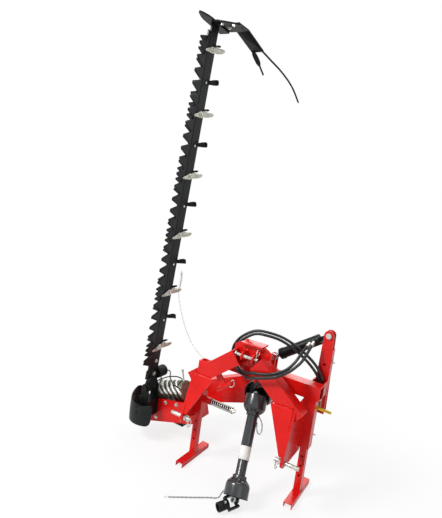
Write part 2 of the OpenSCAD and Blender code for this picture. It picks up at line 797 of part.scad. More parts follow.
// Spare pin with a ring, stored in a clip that hangs under the left beam
stored_along = 185;
stored_drop = 75;
stored_y = 96;
stored_l = 120;
stored_r = 11;
stored_ring_r = 16;
hanger = [42, 8];
module stored_pin() {
    color(paint_red) translate([-beam_head[0], stored_y, beam_head[1]]) rotate([0, -beam_fall, 0])
        translate([-stored_along, 0, -beam_w / 2 - stored_drop]) {
            at_x(-stored_l / 2, 0, 0) cylinder(r = stored_r, h = stored_l);
            translate([-hanger[0] / 2, -hanger[1] / 2, 0]) cube([hanger[0], hanger[1], stored_drop]);
            translate([stored_l / 2 + stored_ring_r - ring_r, 0, 0])
                rotate_extrude() translate([stored_ring_r, 0]) circle(ring_r);
        }
}

// Carrier arm: belt housing, head box, hub on the bearing tube and lugs for the lift rod
hub_wall = 14;
arm_lug_t = 11;
arm_lug_r = 25;
arm_lug_play = 2;
arm_lug_gap = 2 * rod_r + arm_lug_play;
arm_lug_sink = 45;
arm_lug_foot = 60;
driven_shaft_r = 14;
module on_head() {
    translate([head_corner[0], 0, head_corner[1]]) rotate([0, -head_slope, 0]) children();
}
module housing_2d(inset) {
    link_2d(pivot, housing_r - inset, driven, housing_end_r - inset);
}
module head_side_2d() {
    polygon([[0, 0], [head_l, 0], [head_l, head_h * head_end_h_share], [0, head_h]]);
}
module arm_housing() {
    color(paint_red) difference() {
        union() {
            difference() {
                plate_xz(housing_y, housing_w) housing_2d(0);
                plate_xz(housing_y + housing_t, housing_w) housing_2d(housing_t);
            }
            at_y(pivot[0], cross_back_y + bearing_plate_t + seat, pivot[1])
                cylinder(
                    r = bearing_tube_r + hub_wall,
                    h = housing_y - cross_back_y - bearing_plate_t + weld
                );
            for (y = [lift_y - arm_lug_gap / 2 - arm_lug_t, lift_y + arm_lug_gap / 2])
                plate_xz(y, arm_lug_t) {
                    translate(rod_end) circle(arm_lug_r);
                    polygon([
                        rod_end + [arm_lug_r, 0],
                        rod_end - [arm_lug_r, 0],
                        pivot + [-arm_lug_foot, housing_r - arm_lug_sink],
                        pivot + [arm_lug_foot / 2, housing_r - arm_lug_r / 2]
                    ]);
                }
            on_head() {
                for (y = [head_y, housing_y - head_t + weld]) plate_xz(y, head_t) head_side_2d();
                translate([0, head_y, 0]) cube([head_l, housing_y - head_y, head_t]);
                translate([0, head_y, 0]) cube([head_t, housing_y - head_y, head_h]);
                translate([head_l - head_t, head_y, 0])
                    cube([head_t, housing_y - head_y, head_h * head_end_h_share]);
            }
        }
        plate_xz(housing_y + housing_t, housing_w) housing_2d(housing_t);
        at_y(pivot[0], cross_back_y, pivot[1]) cylinder(r = bearing_tube_r + fit, h = housing_w);
        at_y(driven[0], housing_y - 2 * head_t, driven[1])
            cylinder(r = driven_shaft_r + seat, h = housing_w / 2);
        at_y(rod_end[0], lift_y - housing_w / 2, rod_end[1]) cylinder(r = rod_pin_r + fit, h = housing_w);
    }
}
module belt_cover() {
    color(paint_red) plate_xz(housing_y + housing_w, housing_t) housing_2d(0);
}
module rod_pin() {
    color(steel_grey) at_y(rod_end[0], lift_y - arm_lug_gap / 2 - arm_lug_t - pin_head_l, rod_end[1]) {
        cylinder(r = rod_pin_r, h = arm_lug_gap + 2 * arm_lug_t + 2 * pin_head_l);
        cylinder(r = pin_head_r, h = pin_head_l - seat);
    }
}

// Belt drive inside the housing: two grooved pulleys and two belts
belt_w = 13;
belt_h = 9;
belt_gap = 18;
belt_set = 46;
belt_y = housing_y + belt_set;
pulley_w = 46;
driven_shaft_l = 69;
groove_play = 0.5;
module pulley(rim_r, bore_r) {
    rotate_extrude($fn = 96) difference() {
        translate([bore_r, 0]) square([rim_r + belt_h / 2 - bore_r, pulley_w]);
        for (k = [-1, 1])
            translate([rim_r - belt_h / 2, pulley_w / 2 + k * belt_gap / 2 - belt_w / 2 - groove_play])
                square([2 * belt_h, belt_w + 2 * groove_play]);
    }
}
module drive_pulley() {
    color(steel_grey) at_y(pivot[0], belt_y - pulley_w / 2, pivot[1]) pulley(drive_r, shaft_r + fit);
}
module driven_pulley() {
    color(steel_grey) at_y(driven[0], belt_y - pulley_w / 2, driven[1]) {
        pulley(driven_r, driven_shaft_r - weld);
        translate([0, 0, -pulley_w / 2]) cylinder(r = driven_shaft_r, h = driven_shaft_l);
    }
}
module drive_belts() {
    color(paint_black) for (k = [-1, 1])
        plate_xz(belt_y + k * belt_gap / 2 - belt_w / 2, belt_w) difference() {
            link_2d(pivot, drive_r + belt_h / 2, driven, driven_r + belt_h / 2);
            link_2d(pivot, drive_r - belt_h / 2 + groove_play, driven, driven_r - belt_h / 2 + groove_play);
        }
}

// Ribbed crankcase of cast aluminium lying in the head box
case_r = 52;
rib_r = 66;
rib_t = 9;
rib_count = 6;
case_l = 270;
case_x = 20;
case_z = 196;
case_play = 4;
case_y = head_y + head_t + rib_r + case_play;
case_foot = [120, 70];
case_neck_r = 34;
case_neck_l = 44;
module crankcase() {
    color("#c9ccc4") on_head() {
        translate([case_x, case_y, case_z]) rotate([0, 90, 0]) rotate_extrude() {
            square([case_neck_r, case_l]);
            translate([0, case_neck_l]) square([case_r, case_l - case_neck_l]);
            for (i = [0 : rib_count])
                translate([0, case_neck_l + i * (case_l - case_neck_l - rib_t) / rib_count])
                    square([rib_r, rib_t]);
        }
        translate([case_x + case_l / 2 - case_foot[0] / 2, case_y - case_foot[1] / 2, head_t])
            cube([case_foot[0], case_foot[1], case_z - head_t]);
    }
}

// Inner shoe: a runner with a turned-up nose, on two struts under the rear of the head box
shoe_t = 8;
shoe_w = 90;
shoe_y = [385, 470];
shoe_set = 55;
shoe_x = head_corner[0] + shoe_set;
shoe_nose = 40;
shoe_rise = 20;
module inner_shoe() {
    color(paint_black) {
        plate_yz(shoe_x, shoe_w) polygon([
            [shoe_y[0], 0], [shoe_y[1], 0], [shoe_y[1] + shoe_nose, shoe_rise],
            [shoe_y[1] + shoe_nose, shoe_rise + shoe_t], [shoe_y[1], shoe_t], [shoe_y[0], shoe_t]
        ]);
        translate([shoe_x, housing_y + weld + fit, shoe_t - weld])
            cube([shoe_w, shoe_t, head_corner[1] + head_h / 2 - shoe_t]);
        translate([shoe_x, housing_y + weld + fit, 0]) cube([shoe_w, shoe_y[0] - housing_y, shoe_t]);
    }
}

// Hinge of the cutter bar: cast bracket on the front of the head box, and its pin
lug_gap = [52, 138];
hinge_lug_t = 12;
hinge_lug_r = 30;
hinge_pin_r = 14;
hinge_head_r = 21;
bracket_w = 84;
bracket_low = 150;
bracket_high = 262;
module hinge_bracket() {
    color(paint_black) difference() {
        union() {
            for (y = [lug_gap[0] - hinge_lug_t, lug_gap[1]]) plate_xz(y, head_y - lug_gap[1]) {
                translate(hinge) circle(hinge_lug_r);
                translate([hinge[0] - hinge_lug_r, bracket_low])
                    square([2 * hinge_lug_r, hinge[1] - bracket_low]);
            }
            translate([hinge[0] - bracket_w / 2, lug_gap[0] - hinge_lug_t, bracket_low])
                cube([bracket_w, head_y - lug_gap[0] + hinge_lug_t, bracket_high - bracket_low]);
        }
        at_y(hinge[0], 0, hinge[1]) cylinder(r = hinge_pin_r + fit, h = head_y + cut);
    }
}
module hinge_pin() {
    color(steel_grey) at_y(hinge[0], lug_gap[0] - hinge_lug_t - pin_head_l, hinge[1]) {
        cylinder(r = hinge_pin_r, h = head_y - lug_gap[0] + hinge_lug_t + pin_head_l);
        cylinder(r = hinge_head_r, h = pin_head_l - seat);
    }
}

// Rubber flap bent round the foot of the bar, held by two stays
flap_mid = [-690, 95];
flap_r = 118;
flap_t = 7;
flap_low_z = 118;
flap_high_z = 305;
flap_from = 152;
flap_to = 300;
flap_front_z = 250;
flap_rake = 22.8;
stay_r = 4;
stay_z = [200, 245];
stay_head_r = 9;
stay_head_l = 5;
module flap_stay_set(r, head_r) {
    for (z = stay_z) {
        at_x(flap_mid[0] - flap_r - stay_head_l, flap_mid[1], z) {
            cylinder(r = r, h = flap_r + stay_head_l - bracket_w / 2);
            cylinder(r = head_r, h = stay_head_l);
        }
        at_y(hinge[0], flap_mid[1] - flap_r - stay_head_l, z) {
            cylinder(r = r, h = flap_r + stay_head_l - flap_mid[1] + lug_gap[0] - hinge_lug_t);
            cylinder(r = head_r, h = stay_head_l);
        }
    }
}
module rubber_flap() {
    color("#22282a") difference() {
        translate([flap_mid[0], flap_mid[1], flap_low_z]) rotate([0, 0, flap_from])
            rotate_extrude(angle = flap_to - flap_from, $fn = 96)
                translate([flap_r - flap_t, 0]) square([flap_t, flap_high_z - flap_low_z]);
        flap_stay_set(stay_r + fit, stay_r + fit);
        translate([flap_mid[0] - 2 * flap_r, flap_mid[1] - flap_r, flap_front_z]) rotate([flap_rake, 0, 0])
            translate([0, -flap_r, 0]) cube([4 * flap_r, 4 * flap_r, flap_high_z - flap_low_z]);
    }
}
module flap_stays() {
    color(steel_grey) flap_stay_set(stay_r, stay_head_r);
}

// Everything on the bar is drawn with X out of its upper face, Y to its back edge and Z along it
module on_bar() {
    translate([hinge[0], 0, hinge[1]]) rotate([0, bar_lean, 0]) children();
}
foot_eye_r = 28;
foot_play = 0.5;
foot_eye_y = [lug_gap[0] + foot_play, lug_gap[1] - foot_play];
foot_top = 110;
bar_start = 20;
module bar_back() {
    color(paint_black) on_bar() difference() {
        union() {
            translate([-bar_t / 2, bar_front_y, bar_start]) cube([bar_t, bar_w, bar_len - bar_start]);
            at_y(0, foot_eye_y[0], 0) cylinder(r = foot_eye_r, h = foot_eye_y[1] - foot_eye_y[0]);
            plate_xz(bar_front_y, bar_w) polygon([
                [-foot_eye_r, 0], [foot_eye_r, 0], [bar_t / 2, foot_top], [-bar_t / 2, foot_top]
            ]);
        }
        at_y(0, 0, 0) cylinder(r = hinge_pin_r + fit, h = head_y);
    }
}

// Knife guides: curved arms across the bar, bright ones above and black ones below
guide_first = 285;
guide_end = 100;
guide_count = floor((bar_len - guide_first - guide_end) / guide_pitch) + 1;
guide_slant = 18;
guide_w = 20;
guide_foot_y = 36;
guide_tail = 44;
guide_tail_y = bar_back_y + guide_tail;
guide_t = 9;
guide_lift = 34;
guide_flat = 20;
guide_flat_y = bar_mid_y + guide_flat;
bolt_y = bar_mid_y;
guide_step_y = bolt_y - (bolt_y - bar_front_y + seat + guide_w / 2 * sin(guide_slant)) / cos(guide_slant);
bolt_r = 8;
bolt_h = 6;
module guide_outline(under) {
    polygon([
        [under, guide_foot_y],
        [under, guide_step_y],
        [bar_t / 2, guide_step_y],
        [bar_t / 2, bar_back_y],
        [bar_t / 2 + guide_lift - guide_t, guide_tail_y],
        [bar_t / 2 + guide_lift, guide_tail_y],
        [bar_t / 2 + guide_lift, guide_tail_y - guide_t],
        [bar_t / 2 + guide_t, guide_flat_y],
        [bar_t / 2 + guide_t, bar_front_y],
        [under + guide_t / 2, guide_foot_y]
    ]);
}
module guide(at, face) {
    translate([0, bolt_y, at]) rotate([guide_slant, 0, 0]) translate([0, -bolt_y, -guide_w / 2])
        mirror([face < 0 ? 1 : 0, 0, 0]) linear_extrude(guide_w) guide_outline(knife_t + 2 * seat);
}
module upper_guides() {
    color("#b9bab0") on_bar() for (i = [0 : guide_count - 1]) guide(guide_first + i * guide_pitch, 1);
}
module lower_guides() {
    color(paint_black) on_bar()
        for (i = [0 : guide_count - 2]) guide(guide_first + (i + 0.5) * guide_pitch, -1);
}
module bar_bolts() {
    color(steel_grey) on_bar() {
        for (i = [0 : guide_count - 1])
            at_x(bar_t / 2 + guide_t, bolt_y, guide_first + i * guide_pitch)
                cylinder(r = bolt_r, h = bolt_h, $fn = 6);
        for (i = [0 : guide_count - 2])
            at_x(bar_t / 2, bolt_y, guide_first + (i + 0.5) * guide_pitch)
                cylinder(r = bolt_r, h = bolt_h, $fn = 6);
    }
}

// Knives: a back strip with ground triangular sections, one knife above and one below
knife_start = 128;
knife_short = 45;
knife_end = bar_len - knife_short;
strip_w = 22;
strip_back_y = bar_front_y - 2 * seat;
strip_front_y = strip_back_y - strip_w;
tip_w_share = 0.16;
root_w_share = 0.96;
knife_gap = 0.2;
head_block = [34, 60];
module section(pitch) {
    root = pitch * root_w_share / 2;
    tip = pitch * tip_w_share / 2;
    keep = 1 - section_grind / root;
    front = -section_l;
    polyhedron(
        points = [
            [0, weld, -root], [0, weld, root], [0, front, tip], [0, front, -tip],
            [knife_t, weld, -root * keep], [knife_t, weld, root * keep],
            [knife_t, front + section_grind, tip * keep / 2],
            [knife_t, front + section_grind, -tip * keep / 2]
        ],
        faces = [
            [0, 1, 2], [0, 2, 3], [4, 6, 5], [4, 7, 6], [0, 5, 1], [0, 4, 5], [1, 6, 2], [1, 5, 6],
            [2, 7, 3], [2, 6, 7], [3, 4, 0], [3, 7, 4]
        ]
    );
}
module knife(count, phase) {
    pitch = guide_pitch / count;
    first = ceil((knife_start - guide_first) / pitch - phase + 0.5);
    last = floor((knife_end - guide_first) / pitch - phase - 0.5);
    translate([knife_gap, strip_front_y, knife_start])
        cube([knife_t, strip_w, knife_end - knife_start]);
    translate([knife_gap, strip_back_y - head_block[0], knife_start - head_block[1] + weld])
        cube([knife_t, head_block[0], head_block[1]]);
    for (i = [first : last])
        translate([knife_gap, strip_front_y, guide_first + (i + phase) * pitch]) section(pitch);
}
module upper_knife() {
    color(paint_black) on_bar() knife(upper_sections, 0);
}
module lower_knife() {
    color(paint_black) on_bar() mirror([1, 0, 0]) knife(lower_sections, 0.5);
}

// Knife drive head behind the foot of the bar
drive_at = [0, bar_back_y, 88];
drive_r_out = 34;
drive_len = 78;
drive_rib = 5;
drive_ribs = 3;
module knife_drive_head() {
    color(paint_black) on_bar() translate(drive_at) rotate([-90, 0, 0]) rotate_extrude() {
        square([drive_r_out - drive_rib, drive_len]);
        for (i = [0 : drive_ribs])
            translate([0, i * (drive_len - drive_rib) / drive_ribs]) square([drive_r_out, drive_rib]);
    }
}

// Outer shoe: pointed runner across the end of the bar with an upright dividing plate
outer_t = 10;
outer_tip_y = -125;
outer_back_y = 210;
outer_half = 34;
divider_out = [165, 130];
divider_end = [120, 215];
divider_top = bar_len + 2 * outer_t - weld;
board_at = [105, 165];
board_stud_r = 7;
board_head_r = 13;
board_head_l = 7;
board_t = 8;
module outer_shoe() {
    color(paint_black) on_bar() {
        translate([0, 0, bar_len]) linear_extrude(outer_t) polygon([
            [-outer_half, bar_front_y - section_l],
            [-outer_half / 2, outer_tip_y],
            [0, outer_tip_y],
            [outer_half, bar_front_y - section_l],
            [outer_half, outer_back_y],
            [-outer_half, outer_back_y]
        ]);
        translate([0, 0, divider_top - outer_t]) linear_extrude(outer_t) polygon([
            [outer_half - weld, bar_front_y], divider_out, divider_end, [-outer_half, outer_back_y],
            [-outer_half, bar_front_y]
        ]);
        translate([board_at[0], board_at[1], divider_top - weld])
            cylinder(r = board_stud_r, h = board_t + board_head_l + 2 * weld);
        translate([board_at[0], board_at[1], divider_top + board_t + 2 * seat])
            cylinder(r = board_head_r, h = board_head_l);
    }
}

// Swath board that swings on the dividing plate's stud and trails behind, with two whip rods
board_w = 92;
board_root = 31;
board_tail = 68;
board_fold_l = 190;
board_slope = 15.5;
board_turn = -8;
whip_sides = 8;
whip_rings = 2;
whip_d = 12;
whip_root = 20;
whip_long = [[0, 0, 0], [10, 120, -25], [24, 250, -55], [44, 380, -110], [62, 480, -190]];
whip_short = [[0, 0, 0], [12, 70, -50], [24, 140, -110]];
module on_board() {
    translate([board_at[0], board_at[1], divider_top + seat]) rotate([0, 0, board_turn]) children();
}
module swath_board() {
    color(paint_black) on_bar() on_board() difference() {
        union() {
            translate([-board_w / 2, -board_root, 0]) cube([board_w, board_root + board_tail, board_t]);
            translate([-board_w / 2, board_tail, 0]) rotate([-board_slope, 0, 0])
                translate([0, -weld, 0]) cube([board_w, board_fold_l, board_t]);
        }
        translate([0, 0, -cut]) cylinder(r = board_stud_r + fit, h = board_t + 2 * cut);
    }
}
function whip(x, steps) = [
    for (p = steps) p + [
        x,
        board_tail + board_fold_l * cos(board_slope) - whip_root,
        board_t / 2 - (board_fold_l - whip_root) * sin(board_slope)
    ]
];
module whip_rod(points) {
    swept(route(points, whip_rings), whip_d / 2, whip_sides, [1, 0, 0]);
}
module swath_rods() {
    color(paint_black) on_bar() on_board() {
        whip_rod(whip(board_w / 2 - whip_d, whip_long));
        whip_rod(whip(whip_d - board_w / 2, whip_short));
    }
}

// Chain that ties the raised bar to the left sleeve, from the tail of a guide
chain_d = 7;
chain_rings = 3;
chain_sides = 8;
chain_route = [
    [-622, 170, 1033], [-612, 176, 1000], [-596, 174, 950], [-557, 168, 866], [-501, 162, 773],
    [-430, 157, 694], [-366, 154, 652], [-325, 152, 632], [-305, 151, 620]
];
module transport_chain() {
    color(steel_grey) swept(route(chain_route, chain_rings), chain_d / 2, chain_sides, [0, 1, 0]);
}

// Driveline: the local frame runs from the upper joint along -Y
pto_l = (pivot[1] - cone_r * sqrt(1 - pow(cos(pto_yaw) * sin(pto_pitch), 2)) - cut)
    / (cos(pto_yaw) * sin(pto_pitch));
outer_tube_r = 21;
tube_wall = 4;
inner_tube_r = outer_tube_r - tube_wall - fit;
guard_wall = 2.5;
cone_l = 62;
cone_taper = 48;
cone_set = 6;
lower_set = 16;
collar_lip = 8;
collar_r = guard_r + collar_lip;
upper_guard_end = 370;
outer_tube_end = 380;
inner_tube_start = 110;
guard_bearing_l = 14;
guard_play = 0.4;
inner_guard_r = guard_r - guard_wall - guard_play;
lower_guard_start = 180;
lower_neck = cone_l + cone_taper;
lower_hub_r = 27;
end_yaw = -48;
end_pitch = -42;
module on_cross() {
    translate([pivot[0], joint_y, pivot[1]]) rotate([pto_pitch, 0, 0]) children();
}
module on_pto() {
    on_cross() rotate([0, 0, pto_yaw]) children();
}
module on_pto_end() {
    on_pto() translate([0, -pto_l, 0]) rotate([0, 0, end_yaw]) children();
}
module down_tube(from, to, r, wall) {
    translate([0, -from, 0]) rotate([90, 0, 0]) difference() {
        cylinder(r = r, h = to - from);
        translate([0, 0, -cut]) cylinder(r = r - wall, h = to - from + 2 * cut);
    }
}
module upper_cross() {
    color(steel_grey) on_cross() cross_piece();
}
module pto_upper_shaft() {
    color(steel_grey) on_pto() {
        rotate([0, 90, 180]) yoke_ears();
        translate([0, -ear_reach, 0]) rotate([90, 0, 0]) cylinder(r = hub_r, h = hub_l);
        down_tube(ear_reach + hub_l - weld, outer_tube_end, outer_tube_r, tube_wall);
    }
}
module cone(mouth, neck, to, r) {
    rotate([90, 0, 0]) rotate_extrude() polygon([
        [cone_r - guard_wall, mouth], [cone_r, mouth], [cone_r, neck - cone_taper], [collar_r, neck],
        [collar_r, neck + guard_bearing_l], [r, neck + guard_bearing_l], [r, to], [r - guard_wall, to],
        [r - guard_wall, neck], [collar_r - guard_wall, neck], [cone_r - guard_wall, neck - cone_taper]
    ]);
}
module pto_upper_guard() {
    color(paint_black) on_pto() difference() {
        union() {
            cone(cone_set, cone_l + cone_taper, upper_guard_end, guard_r);
            translate([0, -cone_l - cone_taper - guard_bearing_l, 0]) rotate([90, 0, 0])
                cylinder(r = guard_r - weld, h = guard_bearing_l);
        }
        translate([0, -cone_l - cone_taper, 0]) rotate([90, 0, 0])
            cylinder(r = outer_tube_r + fit, h = 3 * guard_bearing_l);
    }
}
module pto_lower_shaft() {
    color(steel_grey) on_pto() {
        translate([0, -pto_l, 0]) rotate([0, 90, 0]) yoke_ears();
        translate([0, -pto_l + ear_reach + hub_l, 0]) rotate([90, 0, 0]) cylinder(r = lower_hub_r, h = hub_l);
        down_tube(inner_tube_start, pto_l - ear_reach - hub_l + weld, inner_tube_r, tube_wall);
    }
}
module pto_lower_guard() {
    color(paint_black) on_pto() translate([0, -pto_l, 0]) rotate([0, 0, 180]) difference() {
        union() {
            cone(lower_set, lower_neck, pto_l - lower_guard_start, inner_guard_r);
            translate([0, -lower_neck - guard_bearing_l, 0]) rotate([90, 0, 0])
                cylinder(r = inner_guard_r - weld, h = guard_bearing_l);
        }
        translate([0, -lower_neck, 0]) rotate([90, 0, 0])
            cylinder(r = inner_tube_r + fit, h = 3 * guard_bearing_l);
    }
}
module lower_cross() {
    color(steel_grey) on_pto_end() cross_piece();
}

// Tractor yoke with its lock button
yoke_l = 62;
yoke_r = 25;
button_r = 6;
button_l = 20;
button_at = 28;
button_travel = 7;
button_boss = 4;
module pto_yoke() {
    color(paint_black) on_pto_end() rotate([end_pitch, 0, 0]) difference() {
        union() {
            rotate([0, 0, 180]) yoke_ears();
            translate([0, weld - ear_reach, 0]) rotate([90, 0, 0]) cylinder(r = yoke_r, h = yoke_l);
            translate([0, -ear_reach - button_at, 0]) cylinder(r = 2 * button_r, h = yoke_r + button_boss);
        }
        translate([0, hub_l / 2 - ear_reach, 0]) rotate([90, 0, 0])
            cylinder(d = yoke_bore_d, h = yoke_l + hub_l / 2);
        translate([0, -ear_reach - button_at, 0]) cylinder(r = button_r + fit, h = 2 * yoke_r);
    }
}
module yoke_button() {
    color(steel_grey) on_pto_end() rotate([end_pitch, 0, 0])
        translate([0, -ear_reach - button_at, yoke_bore_d / 2 + button_travel + seat])
            cylinder(r = button_r, h = button_l);
}

// Guard chains: a short tether at the upper cone and a chain lying on the ground from the lower one
tether_d = 5;
ground_rings = 2;
tether_route = [
    [95, 151, 412], [108, 150, 402], [124, 150, 378], [132, 144, 346], [128, 134, 322], [116, 126, 326],
    [106, 126, 352], [101, 130, 376], [94, 131, 386]
];
ground_chain_route = [
    [70, -90, 64], [58, -95, 52], [49, -100, 34], [42, -106, 14], [28, -116, 4], [0, -136, 3],
    [-40, -170, 3], [-80, -205, 3], [-120, -238, 3], [-150, -264, 3], [-175, -284, 3]
];
module guard_tether() {
    color(paint_black) swept(route(tether_route, chain_rings), tether_d / 2, chain_sides, [1, 1, 0]);
}
module guard_chain() {
    color(steel_grey) swept(route(ground_chain_route, ground_rings), tether_d / 2, chain_sides, [0, 0, 1]);
}

// The ground frame set on the top link pin
module placed() {
    translate([0, -top_pin_y, -top_pin_z]) children();
}
placed() crown();
placed() beam_left();
placed() beam_right();
placed() hitch_bracket_left();
placed() hitch_bracket_right();
placed() rear_frame();
placed() lift_mast();
placed() top_link_pin();
placed() lower_pin_left();
placed() lower_pin_right();
placed() linch_pins();
placed() leg_screws();
placed() barrel_pin();
placed() valve_block();
placed() lift_hose_front();
placed() lift_hose_rear();
placed() pto_hood();
placed() input_shaft();
placed() input_bearings();
placed() release_rod();
placed() release_spring();
placed() stored_pin();
placed() leg_left();
placed() leg_right();
placed() valve_lever();
placed() lift_barrel();
placed() lift_rod();
placed() arm_housing();
placed() belt_cover();
placed() drive_belts();
placed() crankcase();
placed() inner_shoe();
placed() hinge_bracket();
placed() hinge_pin();
placed() rubber_flap();
placed() flap_stays();
placed() rod_pin();
placed() drive_pulley();
placed() driven_pulley();
placed() bar_back();
placed() upper_guides();
placed() lower_guides();
placed() bar_bolts();
placed() knife_drive_head();
placed() outer_shoe();
placed() transport_chain();
placed() upper_knife();
placed() lower_knife();
placed() swath_board();
placed() swath_rods();
placed() upper_cross();
placed() pto_upper_shaft();
placed() pto_upper_guard();
placed() guard_tether();
placed() pto_lower_shaft();
placed() pto_lower_guard();
placed() guard_chain();
placed() lower_cross();
placed() pto_yoke();
placed() yoke_button();
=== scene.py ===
"""Sickle bar mower parked on its legs with its bar folded up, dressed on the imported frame."""

import math

import bmesh
import bpy
from mathutils import Matrix, Vector


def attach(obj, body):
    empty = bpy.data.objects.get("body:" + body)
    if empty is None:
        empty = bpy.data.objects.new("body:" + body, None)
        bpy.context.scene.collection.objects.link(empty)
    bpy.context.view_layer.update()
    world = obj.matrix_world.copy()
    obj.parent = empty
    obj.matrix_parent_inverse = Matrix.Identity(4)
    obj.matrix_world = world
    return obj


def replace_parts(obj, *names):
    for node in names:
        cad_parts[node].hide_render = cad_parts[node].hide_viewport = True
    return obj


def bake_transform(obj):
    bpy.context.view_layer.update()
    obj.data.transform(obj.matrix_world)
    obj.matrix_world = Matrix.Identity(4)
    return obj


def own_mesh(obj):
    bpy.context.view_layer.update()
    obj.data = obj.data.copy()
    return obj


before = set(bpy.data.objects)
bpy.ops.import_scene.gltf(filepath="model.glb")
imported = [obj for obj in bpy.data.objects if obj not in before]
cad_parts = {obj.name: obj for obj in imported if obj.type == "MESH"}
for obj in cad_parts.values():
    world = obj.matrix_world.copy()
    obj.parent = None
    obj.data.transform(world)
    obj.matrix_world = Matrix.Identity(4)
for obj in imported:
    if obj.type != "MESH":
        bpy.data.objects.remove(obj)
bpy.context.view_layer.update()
scene = bpy.context.scene
scene.view_settings.view_transform = "Standard"


# A-frame and rear frame: rolled steel tube and plate, cut, welded and sprayed in one coat of red enamel.
# Fillet welds show along the joints, and the grinder has slightly rounded the plates' edges.
def srgb(hex_colour):
    """Linear colour of an sRGB hex colour."""
    parts = [int(hex_colour[i : i + 2], 16) / 255 for i in (1, 3, 5)]
    return [c / 12.92 if c <= 0.04045 else ((c + 0.055) / 1.055) ** 2.4 for c in parts] + [1]


def add(tree, kind, links=None, **settings):
    """Add a node with its settings, and fill its sockets with values or links."""
    node = tree.nodes.new(kind)
    for name, value in settings.items():
        setattr(node, name, value)
    for socket, source in (links or {}).items():
        if isinstance(source, bpy.types.NodeSocket):
            tree.links.new(source, node.inputs[socket])
        else:
            node.inputs[socket].default_value = source
    return node


# A colour mix has its share, first colour, second colour and result at these sockets.
MIX_SHARE, MIX_FIRST, MIX_SECOND, MIX_RESULT = 0, 6, 7, 2
PATCHES_PER_BLOTCH = 2.6
BUMP_HEIGHT = 0.001


def finish(slot, name, tones, blotch, rough, grain, lift, soil="", soiled=0.0, **sockets):
    """A finish of two tones in blotches, a roughness that varies, a fine bump, and soil in patches.

    Blotch and grain are sizes in millimetres. A real grain that is too fine to show, such as the crystals of
    zinc plate or the marks of a grinding wheel, is drawn one to two millimetres coarse.
    """
    paint = bpy.data.materials.new(name)
    paint["slot"] = slot
    paint.use_nodes = True
    tree = paint.node_tree
    tree.nodes.clear()
    spot = add(tree, "ShaderNodeTexCoord").outputs["Object"]
    cloud = add(tree, "ShaderNodeTexNoise", {"Vector": spot, "Scale": 1000 / blotch, "Detail": 4.0})
    fine = add(tree, "ShaderNodeTexNoise", {"Vector": spot, "Scale": 1000 / grain, "Detail": 3.0})
    patch = add(
        tree,
        "ShaderNodeTexNoise",
        {"Vector": spot, "Scale": 1000 * PATCHES_PER_BLOTCH / blotch, "Detail": 6.0, "Roughness": 0.7},
    )
    share = add(
        tree,
        "ShaderNodeMapRange",
        {"Value": cloud.outputs["Fac"], "From Min": 0.36, "From Max": 0.64},
    )
    colour = add(
        tree,
        "ShaderNodeMix",
        {MIX_SHARE: share.outputs["Result"], MIX_FIRST: srgb(tones[0]), MIX_SECOND: srgb(tones[1])},
        data_type="RGBA",
    ).outputs[MIX_RESULT]
    if soil:
        worn = add(
            tree,
            "ShaderNodeMapRange",
            {"Value": patch.outputs["Fac"], "From Min": 0.56, "From Max": 0.74, "To Max": soiled},
        )
        colour = add(
            tree,
            "ShaderNodeMix",
            {MIX_SHARE: worn.outputs["Result"], MIX_FIRST: colour, MIX_SECOND: srgb(soil)},
            data_type="RGBA",
        ).outputs[MIX_RESULT]
    gloss = add(
        tree,
        "ShaderNodeMapRange",
        {
            "Value": patch.outputs["Fac"],
            "From Min": 0.3,
            "From Max": 0.7,
            "To Min": rough[0],
            "To Max": rough[1],
        },
    )
    bump = add(
        tree,
        "ShaderNodeBump",
        {"Height": fine.outputs["Fac"], "Strength": lift, "Distance": BUMP_HEIGHT},
    )
    shader = add(
        tree,
        "ShaderNodeBsdfPrincipled",
        {
            "Base Color": colour,
            "Roughness": gloss.outputs["Result"],
            "Normal": bump.outputs["Normal"],
            **{socket.replace("_", " "): value for socket, value in sockets.items()},
        },
    )
    add(tree, "ShaderNodeOutputMaterial", {"Surface": shader.outputs["BSDF"]})
    return paint


# Sprayed enamel is one strong, even red. Its fine orange peel softens a clear gloss.
RED = finish(
    "red_paint",
    "sprayed red enamel",
    tones=("#dc1712", "#cf1210"),
    blotch=170,
    rough=(0.22, 0.36),
    grain=1.6,
    lift=0.05,
    soil="#d9292a",
    soiled=0.3,
    Specular_IOR_Level=0.22,
    Coat_Weight=0.1,
    Coat_Roughness=0.08,
)
EDGE_R, EDGE_TURN = 0.0016, math.radians(35)
WELD_GAP = 0.00001


def round_edges(obj):
    """Give a piece the small radius of real edges."""
    obj.modifiers.new("weld", "WELD").merge_threshold = WELD_GAP
    edge = obj.modifiers.new("edge", "BEVEL")
    edge.width = EDGE_R
    edge.segments = 2
    edge.limit_method = "ANGLE"
    edge.angle_limit = EDGE_TURN


def dress(paint, *names):
    """Give CAD nodes their finish and the small radius of real edges."""
    for name in names:
        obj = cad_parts[name]
        obj.data.materials.clear()
        obj.data.materials.append(paint)
        round_edges(obj)


dress(RED, "crown", "beam_left", "beam_right", "rear_frame", "lift_mast")
dress(RED, "hitch_bracket_left", "hitch_bracket_right")

# The row's origin is the top link pin, which stands this far above the ground and behind the lower pins.
GROUND_Z, PIN_Y = -0.760, 0.095


def ground(x, y, z):
    """Row place, in metres, of a place in millimetres from the ground below the lower pins."""
    return Vector((x / 1000, y / 1000 - PIN_Y, z / 1000 + GROUND_Z))


def skin(rings, sides, closed=False):
    """Faces between rings of corners, with flat ends unless the last ring meets the first."""
    faces = []
    for i in range(rings if closed else rings - 1):
        j = (i + 1) % rings
        for k in range(sides):
            m = (k + 1) % sides
            faces.append((i * sides + k, i * sides + m, j * sides + m, j * sides + k))
    if not closed:
        faces += [tuple(reversed(range(sides))), tuple(range((rings - 1) * sides, rings * sides))]
    return faces


